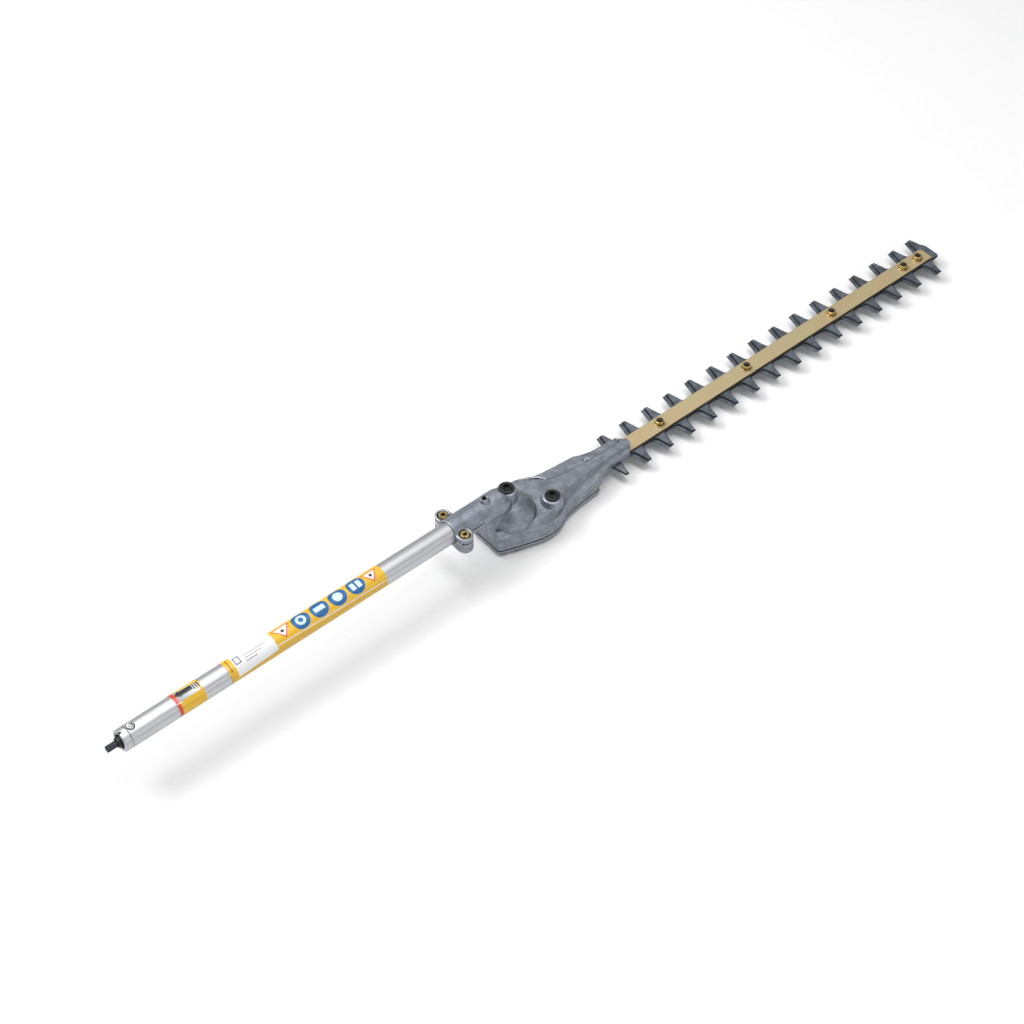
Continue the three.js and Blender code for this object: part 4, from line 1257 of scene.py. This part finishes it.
def blade_fasteners():
    """Flanged nuts on the bar and the threaded bolts that come through them."""
    low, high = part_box("blade_bolt_1")
    nut_low, nut_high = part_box("blade_nut_1")
    tall = nut_high.z - nut_low.z
    flats, bore = 8 * MM, 2.8 * MM
    flange = 5.4 * MM
    # Painted shade in the groove under the hexagon and down the bore.
    nut = mark_painted_recess_shade(turned_mesh("flange_nut", [
        (bore, 0.3 * MM), (bore + 0.3 * MM, 0), (flange - 0.25 * MM, 0), (flange, 0.25 * MM),
        (flange, 0.75 * MM), (flange - 0.3 * MM, 1.0 * MM), (3.7 * MM, 1.02 * MM), (3.6 * MM, 1.55 * MM),
        hexagon(flats - 0.4 * MM, 1.58 * MM), hexagon(flats, 1.8 * MM),
        hexagon_within(flats, 4 * MM, tall - 0.05 * MM), (3.75 * MM, tall),
        (bore + 0.35 * MM, tall), (bore, tall - 0.35 * MM), (bore, 0.3 * MM),
    ], 72), (3.95 * MM, 0.9 * MM, 1.6 * MM), (2.9 * MM, 0, tall - 0.1 * MM))
    spots = [(x, 0, nut_low.z) for x in BOLT_X]
    set_out("flange_nuts", nut, spots, "housing", "gold_steel", numbered("blade_nut", 5), math.pi / 3)

    head, shank, r = 5.5 * MM, (high.z - low.z), 2.5 * MM
    bolt = turned_mesh("blade_screw", [
        (0, 0), (3.4 * MM, 0), (4.6 * MM, 0.5 * MM), (5.25 * MM, 1.2 * MM), (head, 1.9 * MM),
        (head, 2.6 * MM), (head - 0.2 * MM, 2.8 * MM), (r, 2.8 * MM),
        *threads(r, 0.28 * MM, 0.8 * MM, shank - 5.5 * MM, shank - 1.5 * MM),
        (r - 0.35 * MM, shank - 1.0 * MM), (r - 0.9 * MM, shank - 0.4 * MM),
        (r - 1.6 * MM, shank - 0.08 * MM), (0, shank),
    ], 40)
    set_out("blade_screws", bolt, [(x, 0, low.z) for x in BOLT_X], "housing", "dark_steel",
            numbered("blade_bolt", 5), TURN)

    ring_low, ring_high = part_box("blade_bush_1")
    tall = ring_high.z - ring_low.z
    outer, bore, edge = 3.5 * MM, 2.8 * MM, 0.15 * MM
    ring = turned_mesh("spacer", [
        (bore, 0), (outer - edge, 0), (outer, edge), (outer, tall - edge), (outer - edge, tall),
        (bore, tall), (bore, 0),
    ], 40)
    set_out("blade_spacers", ring, [(x, 0, ring_low.z) for x in BOLT_X], "housing", "bright_steel",
            numbered("blade_bush", 5))


def case_fasteners():
    """Screws of the cover, bolts of the clamp and the small screws of the case."""
    names = numbered("cover_screw", 6)
    low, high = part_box(names[0])
    tall = high.z - low.z
    socket = 3 * MM
    screw = turned_mesh("cover_screw", [
        (0, 1.6 * MM), hexagon(socket, 1.6 * MM), hexagon(socket, 0.15 * MM),
        hexagon(socket + 0.3 * MM, 0), (2.6 * MM, 0), (3.2 * MM, 0.3 * MM), (3.6 * MM, 0.95 * MM),
        (3.7 * MM, 1.5 * MM), (3.7 * MM, 2.1 * MM),
        (3.5 * MM, 2.3 * MM), (2 * MM, 2.3 * MM),
        *threads(2 * MM, 0.2 * MM, 0.8 * MM, 6.5 * MM, tall - 0.5 * MM, 4), (1.5 * MM, tall), (0, tall),
    ], 36)
    set_out("cover_screws", screw, feet(names), "housing", "dark_steel", names, TURN)

    names = ["clamp_bolt_left", "clamp_bolt_right"]
    low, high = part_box(names[0])
    tall = high.z - low.z
    head, socket = 4.7 * MM, 4.2 * MM

    def knurl(height):
        def entry(angle):
            return head - 0.14 * MM * (1 + math.cos(angle * 30)) / 2, height
        return entry
    # Painted shade in the hexagon socket.
    bolt = mark_painted_recess_shade(turned_mesh("clamp_bolt", [
        (0, 0), (2.1 * MM, 0), *threads(2.5 * MM, 0.25 * MM, 0.8 * MM, 0.4 * MM, 8 * MM, 4),
        (2.3 * MM, 8.2 * MM), (2.3 * MM, tall - 4.6 * MM), (head - 0.2 * MM, tall - 4.6 * MM),
        knurl(tall - 4.3 * MM), knurl(tall - 0.8 * MM), (head - 0.35 * MM, tall - 0.3 * MM),
        (head - 0.75 * MM, tall), hexagon(socket + 0.5 * MM, tall), hexagon(socket, tall - 0.3 * MM),
        hexagon(socket, tall - 2.6 * MM), (0, tall - 3.4 * MM),
    ], 120), (2.6 * MM, tall - 4 * MM, tall - 0.6 * MM))
    set_out("clamp_bolts", bolt, feet(names), "housing", "gold_steel", names, 1.0)

    names = numbered("bar_screw", 2)
    low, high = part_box(names[0])
    tall = high.z - low.z
    screw = turned_mesh("bar_screw", [
        (0, 0), (2.6 * MM, 0), (1.9 * MM, 1.2 * MM),
        *threads(1.9 * MM, 0.18 * MM, 0.7 * MM, 2 * MM, tall - 0.7 * MM, 4),
        (1.2 * MM, tall - 0.15 * MM), (0, tall),
    ], 32)
    set_out("bar_screws", screw, feet(names), "housing", "bright_steel", names, TURN)

    low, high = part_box("locating_screw")
    tall, place = high.z - low.z, middle("locating_screw")
    socket = 2.4 * MM
    screw = turned_mesh("locating_pin", [
        (0, 0), (1.6 * MM, 0), (2 * MM, 0.8 * MM),
        *threads(2.3 * MM, 0.2 * MM, 0.7 * MM, 1.6 * MM, tall - 0.6 * MM, 4),
        (1.9 * MM, tall), hexagon(socket + 0.3 * MM, tall), hexagon(socket, tall - 0.2 * MM),
        hexagon(socket, tall - 1.9 * MM), (0, tall - 2.3 * MM),
    ], 48, Matrix.Translation((place.x, place.y, low.z)))
    fitted(shaded(placed("locating_pin", screw)), "housing", "dark_steel", "locating_screw")


def grease_plugs():
    """The two black plugs: a scalloped cap with a raised collar round a hexagon socket."""
    scallops, socket = 12, 6 * MM

    def scallop(radius, height, depth):
        def entry(angle):
            return radius - depth * max(0.0, math.cos(angle * scallops)) ** 3, height
        return entry

    for name in ("grease_plug_rear", "grease_plug_front"):
        low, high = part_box(name)
        place = middle(name)
        tall = high.z - low.z
        outer = (high.y - low.y) / 2
        foot = tall - 2.9 * MM
        plug = turned_mesh(name, [
            (0, 0), (3.4 * MM, 0), (4 * MM, 0.6 * MM), (4 * MM, foot), (outer - 0.6 * MM, foot),
            scallop(outer, foot + 0.35 * MM, 0.5 * MM), scallop(outer, foot + 1.5 * MM, 0.5 * MM),
            scallop(outer - 0.45 * MM, foot + 2.1 * MM, 0.4 * MM), (outer - 1.3 * MM, foot + 2.3 * MM),
            (outer - 2.0 * MM, foot + 2.05 * MM), (outer - 2.35 * MM, foot + 2.1 * MM),
            (outer - 2.6 * MM, tall - 0.35 * MM), (outer - 2.95 * MM, tall),
            hexagon(socket + 0.5 * MM, tall), hexagon(socket, tall - 0.3 * MM),
            hexagon(socket, tall - 3.3 * MM), (0, tall - 3.6 * MM),
        ], 144, Matrix.Translation((place.x, place.y, low.z)))
        fitted(shaded(placed(name.replace("grease_", "") + "_cap", plug)), "housing", "black_plastic", name)


# ---- Operators ---------------------------------------------------------------------------------------


class TRIMMER_OT_tube(bpy.types.Operator):
    """Build the drive tube, its end ring and bush, and the shaft inside it."""

    bl_idname = "trimmer.tube"
    bl_label = "Drive tube and shaft"

    def execute(self, context):
        tube_pieces()
        tube_end_bush()
        drive_shaft()
        return {"FINISHED"}


class TRIMMER_OT_lock(bpy.types.Operator):
    """Build the sprung lock button and its coil spring."""

    bl_idname = "trimmer.lock"
    bl_label = "Lock button and spring"

    def execute(self, context):
        lock_pieces()
        return {"FINISHED"}


class TRIMMER_OT_labels(bpy.types.Operator):
    """Wrap the two printed films round the tube."""

    bl_idname = "trimmer.labels"
    bl_label = "Printed films"

    def execute(self, context):
        colours = context.scene.trimmer_label
        low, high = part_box("arrow_label")
        arrow = arrow_print("arrow_print", colours, high.x - low.x, FILM_START * TUBE_R)
        label("arrow_film", "arrow_label", arrow)
        low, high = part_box("band_label")
        label("band_film", "band_label", band_print("band_print", colours, high.x - low.x))
        return {"FINISHED"}


class TRIMMER_OT_case(bpy.types.Operator):
    """Build the gear case and its cover as die castings with rounded edges."""

    bl_idname = "trimmer.case"
    bl_label = "Gear case and cover"

    def execute(self, context):
        settings = context.scene.trimmer_case
        case = cast_piece("gear_case_casting", "gear_case", settings.grain, settings.rounding, case_crispness)
        fitted(case, "housing", "casting", "gear_case")
        cover = cast_piece("cover_casting", "case_cover", settings.grain * 0.75, 3,
                           lambda points: np.zeros(len(points)))
        fitted(cover, "housing", "cover", "case_cover")
        return {"FINISHED"}


class TRIMMER_OT_blades(bpy.types.Operator):
    """Build the two toothed blades with their ground bevels."""

    bl_idname = "trimmer.blades"
    bl_label = "Toothed blades"

    def execute(self, context):
        blades(context.scene.trimmer_blade)
        return {"FINISHED"}


class TRIMMER_OT_bar(bpy.types.Operator):
    """Build the gold guide bar."""

    bl_idname = "trimmer.bar"
    bl_label = "Guide bar"

    def execute(self, context):
        guide_bar()
        return {"FINISHED"}


class TRIMMER_OT_fasteners(bpy.types.Operator):
    """Set out the nuts, bolts, spacers and screws."""

    bl_idname = "trimmer.fasteners"
    bl_label = "Fasteners"

    def execute(self, context):
        blade_fasteners()
        case_fasteners()
        return {"FINISHED"}


class TRIMMER_OT_plugs(bpy.types.Operator):
    """Build the two black grease plugs."""

    bl_idname = "trimmer.plugs"
    bl_label = "Grease plugs"

    def execute(self, context):
        grease_plugs()
        return {"FINISHED"}


class TRIMMER_OT_finishes(bpy.types.Operator):
    """Give every frame node that stays in view the finish of its material slot."""

    bl_idname = "trimmer.finishes"
    bl_label = "Finishes of the frame's own pieces"

    def execute(self, context):
        slots = {s["node"]: s["material_slot"] for s in frame["record"]["subparts"]}
        for name, node in frame["nodes"].items():
            if node.hide_render:
                continue
            material = finish_of(slots[name])
            if not node.material_slots:
                raise RuntimeError(f"{name} has no material slot")
            for entry in node.material_slots:
                entry.material = material
        return {"FINISHED"}


class TRIMMER_OT_stage(bpy.types.Operator):
    """Lay the pale floor, hang the soft lights and set up the camera."""

    bl_idname = "trimmer.stage"
    bl_label = "Floor, light and camera"

    def execute(self, context):
        stage = context.scene.trimmer_stage
        floor(stage.floor)
        lights()
        camera(stage.lens)
        context.scene.view_settings.view_transform = "Standard"
        return {"FINISHED"}


def floor(level):
    """A wide sheet just under the attachment."""
    reach = 14.0
    base = CAD_BOX[0].z - 0.05 * MM
    points = [(sx * reach, sy * reach, base) for sx, sy in ((-1, -1), (1, -1), (1, 1), (-1, 1))]
    mesh = bpy.data.meshes.new("studio_floor")
    mesh.from_pydata(points, [], [(0, 1, 2, 3)])
    sheet = placed("studio_floor", mesh)
    sheet.data.materials.append(paper_floor("floor_paper", level))


def softbox(name, place, aim, size, power):
    """A rectangular area light that faces a point."""
    data = bpy.data.lights.new(name, "AREA")
    data.shape = "RECTANGLE"
    data.size, data.size_y = size
    data.energy = power
    lamp = bpy.data.objects.new(name, data)
    bpy.context.scene.collection.objects.link(lamp)
    lamp.location = place
    lamp.rotation_euler = (Vector(aim) - Vector(place)).to_track_quat("-Z", "Y").to_euler()


def lights():
    """A sky that is paler towards the top, and three soft lamps."""
    world = bpy.data.worlds.new("studio_air")
    world.use_nodes = True
    bpy.context.scene.world = world
    sky = Graph(world.node_tree)
    sky.tree.nodes.clear()
    height = sky.node("ShaderNodeSeparateXYZ", inputs={0: sky.node("ShaderNodeTexCoord")}, output=2)
    stops = ((0.12, 0.05), (0.55, 0.34), (1.0, 0.6))
    glow = sky.node("ShaderNodeValToRGB", {"stops": stops}, {"Fac": height})
    air = sky.node("ShaderNodeBackground", inputs={"Color": glow, "Strength": 1.0})
    sky.node("ShaderNodeOutputWorld", inputs={"Surface": air})
    softbox("key_light", (-0.9, 1.3, 1.9), (-0.1, 0, 0), (1.6, 1.0), 36)
    softbox("top_light", (0.1, 0.0, 2.4), (0, 0, 0), (2.2, 0.6), 26)
    softbox("near_light", (0.2, -2.0, 0.9), (0.0, 0, 0), (1.8, 0.35), 8)


def camera(lens):
    """The camera looks down the tool from behind its tube end, on its right."""
    data = bpy.data.cameras.new("camera")
    data.lens = lens
    data.sensor_width = 36
    data.clip_end = 60
    eye = bpy.data.objects.new("camera", data)
    bpy.context.scene.collection.objects.link(eye)
    eye.location = (-1.0954, -1.1779, 1.7647)
    down, turn, roll = math.radians(48.026), math.radians(41.179), math.radians(0.468)
    aim = Euler((math.pi / 2 - down, 0, -turn)).to_matrix().to_4x4()
    eye.matrix_world = Matrix.Translation(eye.location) @ aim @ Matrix.Rotation(roll, 4, "Z")
    bpy.context.scene.camera = eye


STEPS = (TRIMMER_OT_stage, TRIMMER_OT_tube, TRIMMER_OT_lock, TRIMMER_OT_labels, TRIMMER_OT_case,
         TRIMMER_OT_blades, TRIMMER_OT_bar, TRIMMER_OT_fasteners, TRIMMER_OT_plugs, TRIMMER_OT_finishes)
GROUPS = {"trimmer_case": TRIMMER_PG_case, "trimmer_blade": TRIMMER_PG_blade,
          "trimmer_label": TRIMMER_PG_label, "trimmer_stage": TRIMMER_PG_stage}


class TRIMMER_PT_panel(bpy.types.Panel):
    """The steps that build the attachment, with their settings."""

    bl_idname = "TRIMMER_PT_panel"
    bl_label = "Hedge trimmer attachment"
    bl_space_type = "VIEW_3D"
    bl_region_type = "UI"
    bl_category = "Trimmer"

    def draw(self, context):
        for step in STEPS:
            self.layout.operator(step.bl_idname)
        for name, group in GROUPS.items():
            box = self.layout.box()
            for setting in group.__annotations__:
                box.prop(getattr(context.scene, name), setting)


def register():
    for group in GROUPS.values():
        bpy.utils.register_class(group)
    for name, group in GROUPS.items():
        setattr(bpy.types.Scene, name, bpy.props.PointerProperty(type=group))
    for step in STEPS:
        bpy.utils.register_class(step)
    bpy.utils.register_class(TRIMMER_PT_panel)


def unregister():
    bpy.utils.unregister_class(TRIMMER_PT_panel)
    for step in reversed(STEPS):
        bpy.utils.unregister_class(step)
    for name, group in GROUPS.items():
        delattr(bpy.types.Scene, name)
        bpy.utils.unregister_class(group)


def main():
    register()
    for step in STEPS:
        group, name = step.bl_idname.split(".")
        getattr(getattr(bpy.ops, group), name)()


if __name__ == "__main__":
    main()
